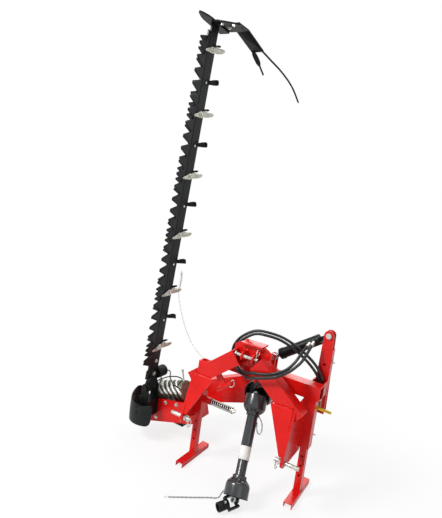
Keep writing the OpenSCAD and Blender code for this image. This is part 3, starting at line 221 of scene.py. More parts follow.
def swept(line, radii, sides=16, closed=False):
    """Corners and faces of a round section carried along a line, with one radius or one for each point."""
    count = len(line)
    radii = radii if isinstance(radii, list) else [radii] * count
    side = (line[1] - line[0]).orthogonal().normalized()
    corners = []
    for i in range(count):
        before = line[i - 1] if closed or i else line[0]
        after = line[(i + 1) % count] if closed or i < count - 1 else line[-1]
        along = (after - before).normalized()
        side = (side - along * side.dot(along)).normalized()
        across = along.cross(side)
        for k in range(sides):
            turn = 2 * math.pi * k / sides
            corners.append(line[i] + radii[i] * (math.cos(turn) * side + math.sin(turn) * across))
    return corners, skin(count, sides, closed)


SAME_SPOT, SHARP = 1e-7, math.radians(38)


def piece(name, shapes, paint, body=None):
    """One object from several shapes, in a paint, riding on a body."""
    corners, faces = [], []
    for some_corners, some_faces in shapes:
        base = len(corners)
        corners += some_corners
        faces += [tuple(base + i for i in face) for face in some_faces]
    mesh = bpy.data.meshes.new(name)
    mesh.from_pydata(corners, [], faces)
    shell = bmesh.new()
    shell.from_mesh(mesh)
    bmesh.ops.remove_doubles(shell, verts=shell.verts, dist=SAME_SPOT)
    bmesh.ops.recalc_face_normals(shell, faces=shell.faces)
    shell.to_mesh(mesh)
    shell.free()
    mesh.polygons.foreach_set("use_smooth", [True] * len(mesh.polygons))
    mesh.set_sharp_from_angle(angle=SHARP)
    mesh.materials.append(paint)
    obj = bpy.data.objects.new(name, mesh)
    scene.collection.objects.link(obj)
    if body:
        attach(obj, body)
    return obj


SEAM, LUG_SEAM, SEAM_STEP, SEAM_LEAST_STEPS, SEAM_SIDES = 4.0, 3.0, 0.002, 4, 8
RIPPLE_SHARE, RIPPLE_TURN, DRIFT_SHARE, DRIFT_TURN = 0.14, 2.1, 0.06, 0.9
SEAMS = [
    ((214, 56, 571), (322, 56, 571), SEAM),
    ((325, 58, 484), (325, 58, 566), SEAM),
    ((325, 59, 574), (325, 59, 598), SEAM),
    ((44, 138, 734), (44, 138, 786), SEAM),
    ((120, 142, 694), (120, 142, 712), LUG_SEAM),
]


def bead(a, b, width):
    """Corners and faces of a fillet weld between two ground places, rippled as it was laid."""
    start, stop = ground(*a), ground(*b)
    steps = max(SEAM_LEAST_STEPS, round((stop - start).length / SEAM_STEP))
    line, radii = [], []
    for k in range(steps + 1):
        swell = RIPPLE_SHARE * math.cos(k * RIPPLE_TURN) + DRIFT_SHARE * math.sin(k * DRIFT_TURN)
        line.append(start.lerp(stop, k / steps))
        radii.append(width / 1000 * (1 + swell))
    radii[0] = radii[-1] = width / 2000
    return swept(line, radii, SEAM_SIDES)


seams = []
for hand in (-1, 1):
    for (start_x, *start), (stop_x, *stop), width in SEAMS:
        seams.append(bead((hand * start_x, *start), (hand * stop_x, *stop), width))
piece("frame_welds", seams, RED, "headstock")

# Hitch pins, linch pins and clamp screws: turned steel, plated. The lower pins stand out of the brackets on a
# nut, each pin is held by a linch pin with a sprung ring, and a bolt goes through the mast's side.
HEX = 6


def around(stand, radius, turn, height):
    """Row place at a radius, turn and height about a stand's Z axis, in millimetres."""
    return stand @ (Vector((radius * math.cos(turn), radius * math.sin(turn), height)) / 1000)


def turned(stand, profile, sides=32, closed=False):
    """Corners and faces of a turned piece on a stand's Z axis, from radius and height in millimetres."""
    turns = [2 * math.pi * k / sides for k in range(sides)]
    corners = [around(stand, radius, turn, height) for radius, height in profile for turn in turns]
    return corners, skin(len(profile), sides, closed)


def aimed(at, along):
    """Stand at a place with its Z axis along a direction."""
    return Matrix.Translation(at) @ Vector(along).to_track_quat("Z", "Y").to_matrix().to_4x4()


def stub(radius, low, high, bevel, drop):
    """Profile of a washer, nut or stud: a plain wall with a bevel at the top."""
    return [(0, low), (radius, low), (radius, high - drop), (radius - bevel, high), (0, high)]


def bolt(stand, washer, head):
    """Shapes of a round washer and a hexagon head on a stand."""
    return [turned(stand, washer), turned(stand, head, HEX)]


# Bright zinc plate is a cool pale grey, with a soft, uneven gloss that dulls where it was handled.
ZINC = finish(
    "zinc",
    "bright zinc plate",
    tones=("#cfcfc8", "#b2b2aa"),
    blotch=14,
    rough=(0.24, 0.4),
    grain=2.0,
    lift=0.08,
    soil="#7d796e",
    soiled=0.5,
    Metallic=0.85,
)
dress(ZINC, "top_link_pin", "lower_pin_left", "lower_pin_right", "linch_pins")
dress(ZINC, "barrel_pin", "rod_pin", "leg_screws")
RIGHTWARD, REARWARD, FORWARD = (1, 0, 0), (0, 1, 0), (0, -1, 0)
MAST_BOLT_AT = (418, 374, 794)
BOLT_WASHER, BOLT_HEAD = stub(12, -1, 2.2, 1, 0.6), stub(9.4, 2, 9.4, 1.4, 1.4)
stand = aimed(ground(*MAST_BOLT_AT), RIGHTWARD)
piece("mast_bolt", bolt(stand, BOLT_WASHER, BOLT_HEAD), ZINC, "headstock")

# Parking legs: square tube welded on folded feet, red like the frame. They drop through the brackets' sleeves
# and are held there by the clamp screws.
dress(RED, "leg_left", "leg_right")

# Break-away gear: a painted rod on which a bright coil of hard-drawn wire sits round a black core, under a
# plated washer and nut; the black core is painted shade inside the coil. The spare pin waits above it in its
# clip, with a loose pull ring.
dress(RED, "release_rod", "stored_pin")
# Black enamel is deep and satin, and turns grey where dust has settled.
BLACK = finish(
    "black_paint",
    "black enamel",
    tones=("#0a0c0c", "#101213"),
    blotch=60,
    rough=(0.34, 0.5),
    grain=2.2,
    lift=0.1,
    soil="#242626",
    soiled=0.4,
    Specular_IOR_Level=0.18,
)
SPRING_FROM = (-215.5, 117, 400)
SPRING_L, SPRING_R, SPRING_WIRE, SPRING_TURNS, TURN_STEPS = 150, 17.4, 3.0, 10, 24
coil_steps = SPRING_TURNS * TURN_STEPS
coil = []
for k in range(coil_steps + 1):
    turn = 2 * math.pi * k / TURN_STEPS
    x = SPRING_FROM[0] + SPRING_WIRE + (SPRING_L - 2 * SPRING_WIRE) * k / coil_steps
    y = SPRING_FROM[1] + SPRING_R * math.cos(turn)
    coil.append(ground(x, y, SPRING_FROM[2] + SPRING_R * math.sin(turn)))
spring = piece("spring_coil", [swept(coil, SPRING_WIRE / 1000, sides=12)], ZINC, "headstock")
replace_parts(spring, "release_spring")
SPRING_WASHER, SPRING_NUT = stub(21.6, 0.2, 5, 0.8, 0.8), stub(16.2, 4.8, 15.2, 1.8, 1.6)
ROD_TIP = stub(8.6, 15, 23.2, 1.2, 1.2)
stand = aimed(ground(SPRING_FROM[0] + SPRING_L, *SPRING_FROM[1:]), RIGHTWARD)
spring_nut = bolt(stand, SPRING_WASHER, SPRING_NUT) + [turned(stand, ROD_TIP)]
piece("spring_nut", spring_nut, ZINC, "headstock")
# A black core inside the coil: painted shade that darkens the gaps between the turns.
CORE_R, CORE_BEVEL, CORE_GAP = 11, 1, 3
core_l = SPRING_L - 2 * CORE_GAP
core = [(0, 0), (CORE_R - CORE_BEVEL, 0), (CORE_R, CORE_BEVEL), (CORE_R, core_l - CORE_BEVEL)]
core += [(CORE_R - CORE_BEVEL, core_l), (0, core_l)]
stand = aimed(ground(SPRING_FROM[0] + CORE_GAP, *SPRING_FROM[1:]), RIGHTWARD)
piece("spring_shade_core", [turned(stand, core)], BLACK, "headstock")
RING_AT, RING_STEPS = (-84, 96, 571), 40
RING_W, RING_H, RING_WIRE, RING_TILT, RING_FLAT_SHARE = 16, 25, 3.0, math.radians(24), 0.55
loop = []
for k in range(RING_STEPS):
    turn = 2 * math.pi * k / RING_STEPS
    x = max(RING_W * math.cos(turn), -RING_FLAT_SHARE * RING_W)
    z = RING_H * math.sin(turn)
    lean_x = x * math.cos(RING_TILT) + z * math.sin(RING_TILT)
    lean_z = z * math.cos(RING_TILT) - x * math.sin(RING_TILT)
    loop.append(ground(RING_AT[0] + lean_x, RING_AT[1], RING_AT[2] + lean_z))
piece("pull_ring", [swept(loop, RING_WIRE / 1000, sides=10, closed=True)], ZINC, "headstock")

# Shut-off valve and lift cylinder: a plated block beside the mast, with a lever dipped in yellow vinyl, and a
# black enamelled barrel on a pin in the mast, with a ground rod that reaches to the arm.
dress(ZINC, "valve_block")
dress(BLACK, "lift_barrel")
# Dipped vinyl is a strong, even yellow under a soft, clear sheen.
YELLOW = finish(
    "yellow_grip",
    "dipped yellow vinyl",
    tones=("#fbe92c", "#f1dc20"),
    blotch=30,
    rough=(0.3, 0.42),
    grain=1.8,
    lift=0.06,
    Coat_Weight=0.3,
)
dress(YELLOW, "valve_lever")
# Turned and ground steel is a mid grey with tight, bright reflections, a little browned by oil.
STEEL = finish(
    "steel",
    "machined steel",
    tones=("#a6a8a8", "#8a8d8f"),
    blotch=22,
    rough=(0.2, 0.36),
    grain=1.2,
    lift=0.06,
    soil="#6b6a66",
    soiled=0.4,
    Metallic=0.9,
)
dress(STEEL, "lift_rod")


# Hydraulic hoses: two wire-braided rubber hoses from the shut-off valve up over the crown, round in front of
# it and back to the cylinder's ports. Each is crimped in a plated ferrule with a swivel nut at both ends.
def route(places, steps):
    """Smooth line through places, with the solid's own rings between them."""
    line = []
    for i in range(len(places) - 1):
        a, b = places[max(i - 1, 0)], places[i]
        c, d = places[i + 1], places[min(i + 2, len(places) - 1)]
        for t in (k / steps for k in range(steps)):
            bend = (2 * a - 5 * b + 4 * c - d) * t**2 + (3 * b - a - 3 * c + d) * t**3
            line.append(0.5 * (2 * b + (c - a) * t + bend))
    return line + [places[-1]]


# Wrapped rubber is near black with a dull sheen, printed by the cloth that it was cured in.
HOSE_RUBBER = finish(
    "rubber",
    "wrapped hose rubber",
    tones=("#141617", "#1d2021"),
    blotch=40,
    rough=(0.3, 0.44),
    grain=1.6,
    lift=0.25,
    Specular_IOR_Level=0.35,
)
HOSE_R, HOSE_STEPS, HOSE_SIDES = 0.0085, 18, 20
# The print of the cloth is drawn coarser than life, or it would not show.
HOSE_LAP, HOSE_PRINT = 4.5, 0.035
HOSES = {
    "front": [
        (367, 332, 580), (367, 332, 625), (355, 328, 692), (306, 314, 752), (224, 288, 816),
        (130, 250, 866), (40, 222, 880), (-32, 210, 872), (-98, 196, 824), (-130, 184, 776),
        (-134, 175, 742), (-127, 168, 710), (-110, 161, 683), (-78, 143, 664), (-36, 112, 662),
        (25, 62, 684), (66, 46, 700), (147, 43, 719), (211, 46, 748), (246, 86, 770),
        (256, 150, 788), (255, 205, 799), (260, 245, 824), (271, 275, 856), (277, 299, 871),
        (279, 320, 877),
    ],
    "rear": [
        (389, 332, 580), (389, 332, 632), (377, 329, 697), (328, 319, 766), (240, 296, 831),
        (138, 262, 882), (38, 238, 896), (-42, 226, 886), (-114, 210, 836), (-150, 198, 782),
        (-158, 192, 736), (-148, 184, 690), (-118, 170, 654), (-74, 140, 642), (-18, 98, 648),
        (34, 52, 660), (76, 26, 680), (148, 22, 704), (214, 26, 734), (262, 70, 764),
        (278, 150, 782), (284, 205, 797), (291, 245, 828), (298, 275, 862), (301, 300, 885),
        (300, 320, 892),
    ],
}
SWIVEL_NUT = [(0, 0), (9.2, 0), (10.6, 1.4), (10.6, 10), (9.2, 11.4), (0, 11.4)]
FERRULE_FROM, FERRULE_TO, FERRULE_NECK, FERRULE_MOUTH, FERRULE_SINK = 11, 41, 9.6, 9.4, 0.001
CRIMPS, CRIMP_PITCH, CRIMP_LAND, CRIMP_SLOPE, CRIMP_R, CRIMP_DIP = 3, 10, 7, 1, 10.4, 9.7
ferrule = [(0, FERRULE_FROM), (FERRULE_NECK, FERRULE_FROM)]
for n in range(CRIMPS):
    low = FERRULE_FROM + CRIMP_SLOPE + CRIMP_PITCH * n
    ferrule += [(CRIMP_R, low), (CRIMP_R, low + CRIMP_LAND)]
    if n < CRIMPS - 1:
        dip = low + CRIMP_LAND + CRIMP_SLOPE
        ferrule += [(CRIMP_DIP, dip), (CRIMP_DIP, low + CRIMP_PITCH - CRIMP_SLOPE)]
ferrule += [(FERRULE_MOUTH, FERRULE_TO), (0, FERRULE_TO)]
for side, spots in HOSES.items():
    line = route([ground(*spot) for spot in spots], HOSE_STEPS)
    corners, faces = swept(line, HOSE_R, HOSE_SIDES)
    for n, corner in enumerate(corners):
        ring, spoke = divmod(n, HOSE_SIDES)
        lap = math.cos(2 * math.pi * (spoke / HOSE_SIDES + ring / HOSE_LAP))
        corners[n] = line[ring] + (corner - line[ring]) * (1 + HOSE_PRINT * lap)
    hose = piece(f"hose_{side}", [(corners, faces)], HOSE_RUBBER)
    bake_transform(hose)
    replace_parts(hose, f"lift_hose_{side}")
    for end, at, away, body in (
        ("valve", line[0], line[1] - line[0], "headstock"),
        ("port", line[-1], line[-2] - line[-1], "lift_cylinder"),
    ):
        stand = aimed(at - away.normalized() * FERRULE_SINK, away)
        shapes = [turned(stand, SWIVEL_NUT, HEX), turned(stand, ferrule)]
        piece(f"ferrule_{side}_{end}", shapes, ZINC, body)

# Input shaft, bearings and hood: a black enamelled steel shaft that runs in bearings in the rear frame. A
# hood moulded in polyethylene stands over the joint.
dress(BLACK, "input_shaft")
dress(STEEL, "input_bearings")
# Moulded polyethylene is charcoal and smooth, with long soft highlights and paler scuffs.
PLASTIC = finish(
    "guard_plastic",
    "moulded polyethylene",
    tones=("#2b2e30", "#34383a"),
    blotch=45,
    rough=(0.16, 0.26),
    grain=1.4,
    lift=0.06,
    soil="#474b4d",
    soiled=0.4,
)
dress(PLASTIC, "pto_hood")

# Carrier arm: a welded belt case in red enamel with a flat bolted cover, over the pulleys and belts, and the
# cutter head's box with its bolted front. The inner shoe and the bar's hinge are black forgings.
dress(RED, "arm_housing", "belt_cover")
dress(STEEL, "drive_pulley", "driven_pulley")
dress(BLACK, "inner_shoe", "hinge_bracket", "hinge_pin")
# Moulded rubber is matt and almost black, greened a little by dust and crop juice.
RUBBER = finish(
    "rubber",
    "moulded rubber",
    tones=("#0b100f", "#131918"),
    blotch=30,
    rough=(0.4, 0.56),
    grain=2.4,
    lift=0.2,
    soil="#222923",
    soiled=0.4,
    Specular_IOR_Level=0.25,
)
dress(RUBBER, "drive_belts")
HEAD_CORNER, HEAD_SLOPE, HEAD_FACE_Y = (-700, 72), math.radians(17.5), 150
HEAD_BOLTS = ((160, 132), (250, 122), (335, 112), (60, 30), (330, 24))
WIDE_WASHER = stub(13, -1, 2.4, 1, 0.6)


def on_head(x, y, z):
    """Row place of a place along, across and up the cutter head's sloping box."""
    along = x * math.cos(HEAD_SLOPE) - z * math.sin(HEAD_SLOPE)
    rise = x * math.sin(HEAD_SLOPE) + z * math.cos(HEAD_SLOPE)
    return ground(HEAD_CORNER[0] + along, y, HEAD_CORNER[1] + rise)


head_bolts = []
for x, z in HEAD_BOLTS:
    head_bolts += bolt(aimed(on_head(x, HEAD_FACE_Y, z), FORWARD), WIDE_WASHER, BOLT_HEAD)
piece("head_bolts", head_bolts, ZINC, "carrier_arm")
COVER_Y, COVER_RIM = 445, 16
COVER_BIG, COVER_SMALL = (Vector((40, 505)), 95), (Vector((-520, 283)), 70)
COVER_SHARES, COVER_TURNS = (0, 0.2, 0.4, 0.6, 0.8, 1), (-0.6, 0.6)
COVER_WASHER, COVER_HEAD = stub(10.5, -1, 2, 0.9, 0.6), stub(7.4, 1.8, 7.4, 1.2, 1)
run = (COVER_SMALL[0] - COVER_BIG[0]).normalized()
across = Vector((run.y, -run.x))
rim_spots = []
for share in COVER_SHARES:
    mid = COVER_BIG[0].lerp(COVER_SMALL[0], share)
    reach = COVER_BIG[1] + (COVER_SMALL[1] - COVER_BIG[1]) * share - COVER_RIM
    rim_spots += [mid + across * reach, mid - across * reach]
for (mid, radius), way in ((COVER_BIG, -run), (COVER_SMALL, run)):
    for turn in COVER_TURNS:
        lean = way * math.cos(turn) + across * math.sin(turn)
        rim_spots.append(mid + lean * (radius - COVER_RIM))
cover_bolts = []
for x, z in rim_spots:
    cover_bolts += bolt(aimed(ground(x, COVER_Y, z), REARWARD), COVER_WASHER, COVER_HEAD)
piece("cover_bolts", cover_bolts, ZINC, "carrier_arm")

# Crankcase: a sand-cast aluminium case bolted on the cutter head, with broad slanting ribs cast over it. It
# has a plated breather at the end, and two stiff black grease lines arch over it.
CASE_Y, CASE_Z = 228, 196
# Sand-cast aluminium is a dull grey-green metal, speckled by the sand.
CAST = finish(
    "cast_aluminium",
    "sand-cast aluminium",
    tones=("#8d9184", "#6f7466"),
    blotch=20,
    rough=(0.34, 0.5),
    grain=1.8,
    lift=0.22,
    soil="#4a4e42",
    soiled=0.6,
    Metallic=0.5,
)
# The same casting is drawn almost white on the ribs: a painted highlight along them.
CAST_RIB_HIGHLIGHT = finish(
    "cast_aluminium",
    "cast aluminium with painted highlight",
    tones=("#eeeee6", "#d9dad2"),
    blotch=20,
    rough=(0.3, 0.46),
    grain=1.8,
    lift=0.2,
    soil="#a3a498",
    soiled=0.5,
    Metallic=0.35,
)
dress(CAST, "crankcase")
# The ribs take the near-white copy of the casting, which is a painted highlight.
RIBS, RIB_FIRST, RIB_PITCH, RIB_LEAN, RIB_STEPS = 5, 94, 40, 30, 24
RIB_R, RIB_FROM, RIB_SWEEP, RIB_THICK, RIB_END = 64, -8, 196, 0.0085, 0.004
ribs = []
for n in range(RIBS):
    arc = []
    for k in range(RIB_STEPS + 1):
        turn = math.radians(RIB_FROM + RIB_SWEEP * k / RIB_STEPS)
        x = RIB_FIRST + RIB_PITCH * n + RIB_LEAN * (1 - 2 * math.sin(turn))
        arc.append(on_head(x, CASE_Y - RIB_R * math.cos(turn), CASE_Z + RIB_R * math.sin(turn)))
    ribs.append(swept(arc, [RIB_END] + [RIB_THICK] * (RIB_STEPS - 1) + [RIB_END], sides=12))
piece("case_ribs", ribs, CAST_RIB_HIGHLIGHT, "carrier_arm")
BREATHER_X, BREATHER_Z = 278, 258
BREATHER_NUT = stub(13, 0, 11, 2, 2)
BREATHER_PIPE = [(0, 10), (5, 10), (5, 62), (8, 64), (8, 78), (6, 82), (0, 82)]
stand = aimed(on_head(BREATHER_X, CASE_Y, BREATHER_Z), on_head(0, 0, 1) - on_head(0, 0, 0))
breather = [turned(stand, BREATHER_NUT, HEX), turned(stand, BREATHER_PIPE)]
piece("case_breather", breather, ZINC, "carrier_arm")
GREASE_R, GREASE_STEPS = 0.004, 8
GREASE_LINES = {
    "grease_line_low": [
        (-721, 154, 238), (-722, 155, 270), (-712, 158, 310), (-697, 160, 347), (-670, 158, 380),
        (-634, 160, 403), (-602, 172, 420), (-560, 196, 428), (-532, 216, 420), (-524, 226, 402),
    ],
    "grease_line_high": [
        (-712, 236, 343), (-714, 234, 370), (-700, 230, 402), (-668, 231, 430), (-628, 216, 436),
        (-590, 172, 418), (-547, 150, 398), (-512, 152, 384), (-490, 166, 368),
    ],
}
for name, spots in GREASE_LINES.items():
    line = route([ground(*spot) for spot in spots], GREASE_STEPS)
    grease = piece(name, [swept(line, GREASE_R, sides=12)], HOSE_RUBBER, "carrier_arm")

# Crop guard: a curved sheet of moulded rubber that keeps stalks off the head. It is raked along its top edge,
# round at its corners, and bolted to two black stays.
dress(BLACK, "flap_stays")
FLAP_MID, FLAP_R, FLAP_T, FLAP_BOW = (-690, 95), 118, 7, 2.5
FLAP_LOW, FLAP_FRONT, FLAP_HIGH, FLAP_RAKE = 118, 250, 305, math.radians(22.8)
FLAP_FROM, FLAP_TO = math.radians(152), math.radians(322)
FLAP_CORNER, FLAP_TOP_SHARE = 36, 0.6
COLUMNS, ROWS = 60, 10


def flap_spot(column, row, radius):
    """Place on the flap's wall: its top edge is raked and its two ends have round corners."""
    turn = FLAP_FROM + (FLAP_TO - FLAP_FROM) * column / COLUMNS
    y = FLAP_MID[1] + FLAP_R * math.sin(turn)
    high = min(FLAP_HIGH, FLAP_FRONT + (y - FLAP_MID[1] + FLAP_R) * math.tan(FLAP_RAKE))
    edge = FLAP_R * min(turn - FLAP_FROM, FLAP_TO - turn)
    cut = FLAP_CORNER - math.sqrt(max(0, FLAP_CORNER**2 - max(0, FLAP_CORNER - edge) ** 2))
    low = FLAP_LOW + cut
    share = row / ROWS
    bow = radius + FLAP_BOW * math.sin(math.pi * share)
    z = low + (high - cut * FLAP_TOP_SHARE - low) * share
    return ground(FLAP_MID[0] + bow * math.cos(turn), FLAP_MID[1] + bow * math.sin(turn), z)


wall = []
for radius in (FLAP_R, FLAP_R - FLAP_T):
    wall += [flap_spot(i, j, radius) for i in range(COLUMNS + 1) for j in range(ROWS + 1)]
inner = (COLUMNS + 1) * (ROWS + 1)
quads = []
for i in range(COLUMNS):
    for j in range(ROWS):
        a, b = i * (ROWS + 1) + j, (i + 1) * (ROWS + 1) + j
        quads += [(a, b, b + 1, a + 1), (inner + a + 1, inner + b + 1, inner + b, inner + a)]
    a, b = i * (ROWS + 1), (i + 1) * (ROWS + 1)
    quads += [(a, inner + a, inner + b, b), (b + ROWS, inner + b + ROWS, inner + a + ROWS, a + ROWS)]
last = COLUMNS * (ROWS + 1)
for j in range(ROWS):
    quads += [(j, j + 1, inner + j + 1, inner + j)]
    quads += [(last + j + 1, last + j, inner + last + j, inner + last + j + 1)]
flap = piece("crop_flap", [(wall, quads)], RUBBER, "carrier_arm")
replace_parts(flap, "rubber_flap")

# Cutter bar: a rolled bar in black enamel on a hinged foot, with forged guides bolted on at a slant. Bright
# plated guides stand on the upper face, black ones on the lower face, and each plated guide's second prong is
# drawn in black enamel as painted shade. A rubber boot covers the knife drive.
dress(BLACK, "bar_back", "knife_drive_head")
dress(ZINC, "bar_bolts")
# Zinc over a forged skin is pale, with a sheen broken by scale marks and soil.
FORGED = finish(
    "zinc",
    "plated forging",
    tones=("#cdccc0", "#a9a89c"),
    blotch=16,
    rough=(0.28, 0.44),
    grain=1.8,
    lift=0.16,
    soil="#6b695c",
    soiled=0.6,
    Metallic=0.7,
)
BAR_FOOT, BAR_LEAN = (-690, 0, 345), math.radians(3.75)
BAR = Matrix.Translation(ground(*BAR_FOOT)) @ Matrix.Rotation(BAR_LEAN, 4, "Y")
BOLT_Y, GUIDE_FIRST, GUIDE_PITCH, GUIDES = 98.5, 285, 381, 6
GUIDE_SLANT, GUIDE_FACE = math.radians(18), 11
QUARTER = math.radians(90)
FORGED_SIDES, FORGED_SQUARE = 16, 0.7


def on_bar(x, y, z):
    """Stand at a place out, back and along the cutter bar, in millimetres."""
    return BAR @ Matrix.Translation(Vector((x, y, z)) / 1000)


def forged(stand, stations):
    """Corners and faces of a forged arm, from stations of place, half width and half thickness."""
    spots = [Vector(station[:3]) for station in stations]
    corners = []
    for i, (_, _, _, wide, thick) in enumerate(stations):
        along = (spots[min(i + 1, len(spots) - 1)] - spots[max(i - 1, 0)]).normalized()
        side = Vector((0, 0, 1))
        side = (side - along * side.dot(along)).normalized()
        across = along.cross(side)
        for k in range(FORGED_SIDES):
            turn = 2 * math.pi * k / FORGED_SIDES
            c, s = (math.copysign(abs(v) ** FORGED_SQUARE, v) for v in (math.cos(turn), math.sin(turn)))
            corners.append(stand @ ((spots[i] + wide * c * side + thick * s * across) / 1000))
    return corners, skin(len(stations), FORGED_SIDES)


FINGER = [
    (6.2, 36, 0, 2.5, 1), (7.4, 42, 0, 7, 2.6), (9.6, 54, 0, 10, 4.2), (10.8, 70, 0, 13, 4.8),
    (11, 86, 0, 17, 5), (11, 98.5, 0, 21, 5.4), (11.4, 112, 0, 17, 5.4), (14, 126, 0, 18, 5.4),
    (20, 142, 0, 21, 5.2), (23, 149, 0, 20, 3.5),
]
PRONG = [
    (16, 130, -2, 13, 5), (22, 146, -4, 15, 6.6), (29, 162, -5, 15, 7.4),
    (36, 177, -5, 13, 7), (41, 190, -4, 7, 4),
]
# The plated guide's second prong, drawn in black enamel: painted shade for a prong that lies in shadow.
SHADED_SPUR = [
    (-8, 116, 12, 8, 4), (-4, 132, 17, 8, 5), (6, 148, 21, 8, 5.4),
    (17, 162, 23, 7, 5), (24, 171, 23, 4, 3),
]
HOOK = [
    (-6.2, 36, 0, 2.5, 1), (-7.4, 42, 0, 7, 2.6), (-10.8, 60, 0, 11, 4.8), (-11, 98.5, 0, 17, 5),
    (-11, 126, 0, 14, 5), (-8, 140, 0, 13, 5), (0, 152, 0, 13, 5), (8, 159, 0, 12, 4),
]
HOOK_PRONG = [
    (4, 153, 3, 10, 5), (16, 167, 5, 11, 6.4), (29, 178, 5, 12, 7),
    (42, 178, 5, 11, 6.4), (50, 170, 4, 7, 4),
]
BOSS, BOSS_NUT = stub(17, 2, 8.5, 1.5, 1.5), stub(9.4, 8, 16, 1.4, 1.4)
bright, dark, bosses = [], [], []
for n in range(2 * GUIDES - 1):
    at = GUIDE_FIRST + GUIDE_PITCH * n / 2
    stand = on_bar(0, BOLT_Y, at) @ Matrix.Rotation(GUIDE_SLANT, 4, "X")
    stand = stand @ Matrix.Translation(Vector((0, -BOLT_Y, 0)) / 1000)
    if n % 2:
        mirrored = [(x, y, -z, wide, thick) for x, y, z, wide, thick in HOOK_PRONG]
        dark += [forged(stand, shape) for shape in (HOOK, HOOK_PRONG, mirrored)]
        continue
    bright += [forged(stand, shape) for shape in (FINGER, PRONG)]
    dark.append(forged(stand, SHADED_SPUR))
    boss = stand @ Matrix.Translation(Vector((GUIDE_FACE, BOLT_Y, 0)) / 1000)
    bosses += bolt(boss @ Matrix.Rotation(QUARTER, 4, "Y"), BOSS, BOSS_NUT)
piece("guide_bosses", bosses, ZINC, "cutter_bar")
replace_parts(piece("bright_guides", bright, FORGED, "cutter_bar"), "upper_guides")
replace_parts(piece("dark_guides_and_shaded_spurs", dark, BLACK, "cutter_bar"), "lower_guides")
FOOT_BOLTS = ((6, 185), (9, 95))
foot_bolts = []
for out, along in FOOT_BOLTS:
    stand = on_bar(out, BOLT_Y, along) @ Matrix.Rotation(QUARTER, 4, "Y")
    foot_bolts += bolt(stand, WIDE_WASHER, BOLT_HEAD)
piece("foot_bolts", foot_bolts, ZINC, "cutter_bar")


def hoop(stand, radius, wire, steps, sides):
    """Corners and faces of a round hoop about a stand's Z axis, in millimetres."""
    line = [around(stand, radius, 2 * math.pi * k / steps, 0) for k in range(steps)]
    return swept(line, wire / 1000, sides, closed=True)


BOOT_FOLDS, BOOT_Z, BOOT_R, BOOT_WALL = (146, 162, 178, 194, 208), 88, 33, 6
boot = []
for back in BOOT_FOLDS:
    stand = on_bar(0, back, BOOT_Z) @ Matrix.Rotation(QUARTER, 4, "X")
    boot.append(hoop(stand, BOOT_R, BOOT_WALL, steps=40, sides=10))
piece("drive_boot", boot, RUBBER, "cutter_bar")

# Knives: two strips of hardened steel with ground sections, blued dark by the heat. They run against each
# other between the bar's faces and its guides.
# Blued steel is near black with a low, cool shine.
KNIFE = finish(
    "black_paint",
    "blued knife steel",
    tones=("#14171a", "#1f2325"),
    blotch=40,
    rough=(0.26, 0.42),
    grain=1.6,
    lift=0.1,
    soil="#34383a",
    soiled=0.4,
    Metallic=0.3,
    Specular_IOR_Level=0.25,
)
dress(KNIFE, "upper_knife", "lower_knife")

# Outer shoe and swath board: a pointed runner and dividing plate across the bar's tip, in black enamel, and
# the folded board on the plate's stud, with two bent rods of spring steel, one in a sleeve.
dress(BLACK, "swath_board")
STUD_AT = (105, 165, 2349)
BOARD_GAP, BOARD_TURN, BOARD_SLOPE = 0.3, math.radians(-8), math.radians(15.5)
stud = on_bar(*STUD_AT)
BOARD = stud @ Matrix.Translation((0, 0, BOARD_GAP / 1000)) @ Matrix.Rotation(BOARD_TURN, 4, "Z")


def slab(stand, outline, low, high):
    """Corners and faces of a plate cut to an outline, between two heights in millimetres."""
    count = len(outline)
    corners = [stand @ (Vector((x, y, z)) / 1000) for z in (low, high) for x, y in outline]
    faces = [tuple(reversed(range(count))), tuple(range(count, 2 * count))]
    for k in range(count):
        m = (k + 1) % count
        faces.append((k, m, count + m, count + k))
    return corners, faces


RUNNER = [
    (34, 210), (-34, 210), (-34, 20), (-28, -14), (-16, -50), (-8, -66),
    (0, -70), (8, -64), (18, -44), (29, -12), (34, 20),
]
DIVIDER = [
    (34, 62), (148, 121), (160, 130), (160, 140), (124, 206),
    (116, 214), (-30, 210), (-34, 206), (-34, 66), (-30, 62),
]
RAIL = [(-12, 206), (-30, 206), (-30, 40), (-12, 40)]
RUNNER_Z, DIVIDER_Z, RAIL_Z = (2330, 2339.6), (2339.4, 2349), (2348.8, 2359)
STUD_SHANK, STUD_HEAD = [(0, -1), (7, -1), (7, 9), (0, 9)], stub(13, 8.6, 15.6, 1, 1.2)
plates = [slab(BAR, RUNNER, *RUNNER_Z), slab(BAR, DIVIDER, *DIVIDER_Z), slab(BAR, RAIL, *RAIL_Z)]
plates += [turned(stud, STUD_SHANK, sides=24), turned(stud, STUD_HEAD, sides=24)]
shoe = piece("end_runner", plates, BLACK, "cutter_bar")
round_edges(shoe)
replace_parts(shoe, "outer_shoe")
SHOE_BOLTS, SHOE_BOLT_Z, SHOE_HEAD = ((52, 92), (70, 150), (118, 120)), 2339, stub(9, 2, 9.4, 1.4, 1.4)
shoe_bolts = []
for x, y in SHOE_BOLTS:
    stand = on_bar(x, y, SHOE_BOLT_Z) @ Matrix.Rotation(2 * QUARTER, 4, "X")
    shoe_bolts += bolt(stand, BOLT_WASHER, SHOE_HEAD)
piece("shoe_bolts", shoe_bolts, ZINC, "cutter_bar")
BOARD_FLAT, BOARD_FALL, BOARD_HALF_T = 68, 190, 4
ROD_R, ROD_TIP_SHARE, ROD_INSET, ROD_X, ROD_STEPS = 0.006, 0.8, 20, 34, 8
LONG_ROD = [(0, 0, 0), (10, 120, -25), (24, 250, -55), (44, 380, -110), (62, 480, -190)]
SHORT_ROD = [(0, 0, 0), (12, 70, -50), (24, 140, -110)]
SLEEVE_FROM, SLEEVE_RADII = 2, [0.009, 0.0135, 0.0155, 0.016, 0.016, 0.016, 0.0155, 0.0135, 0.009]
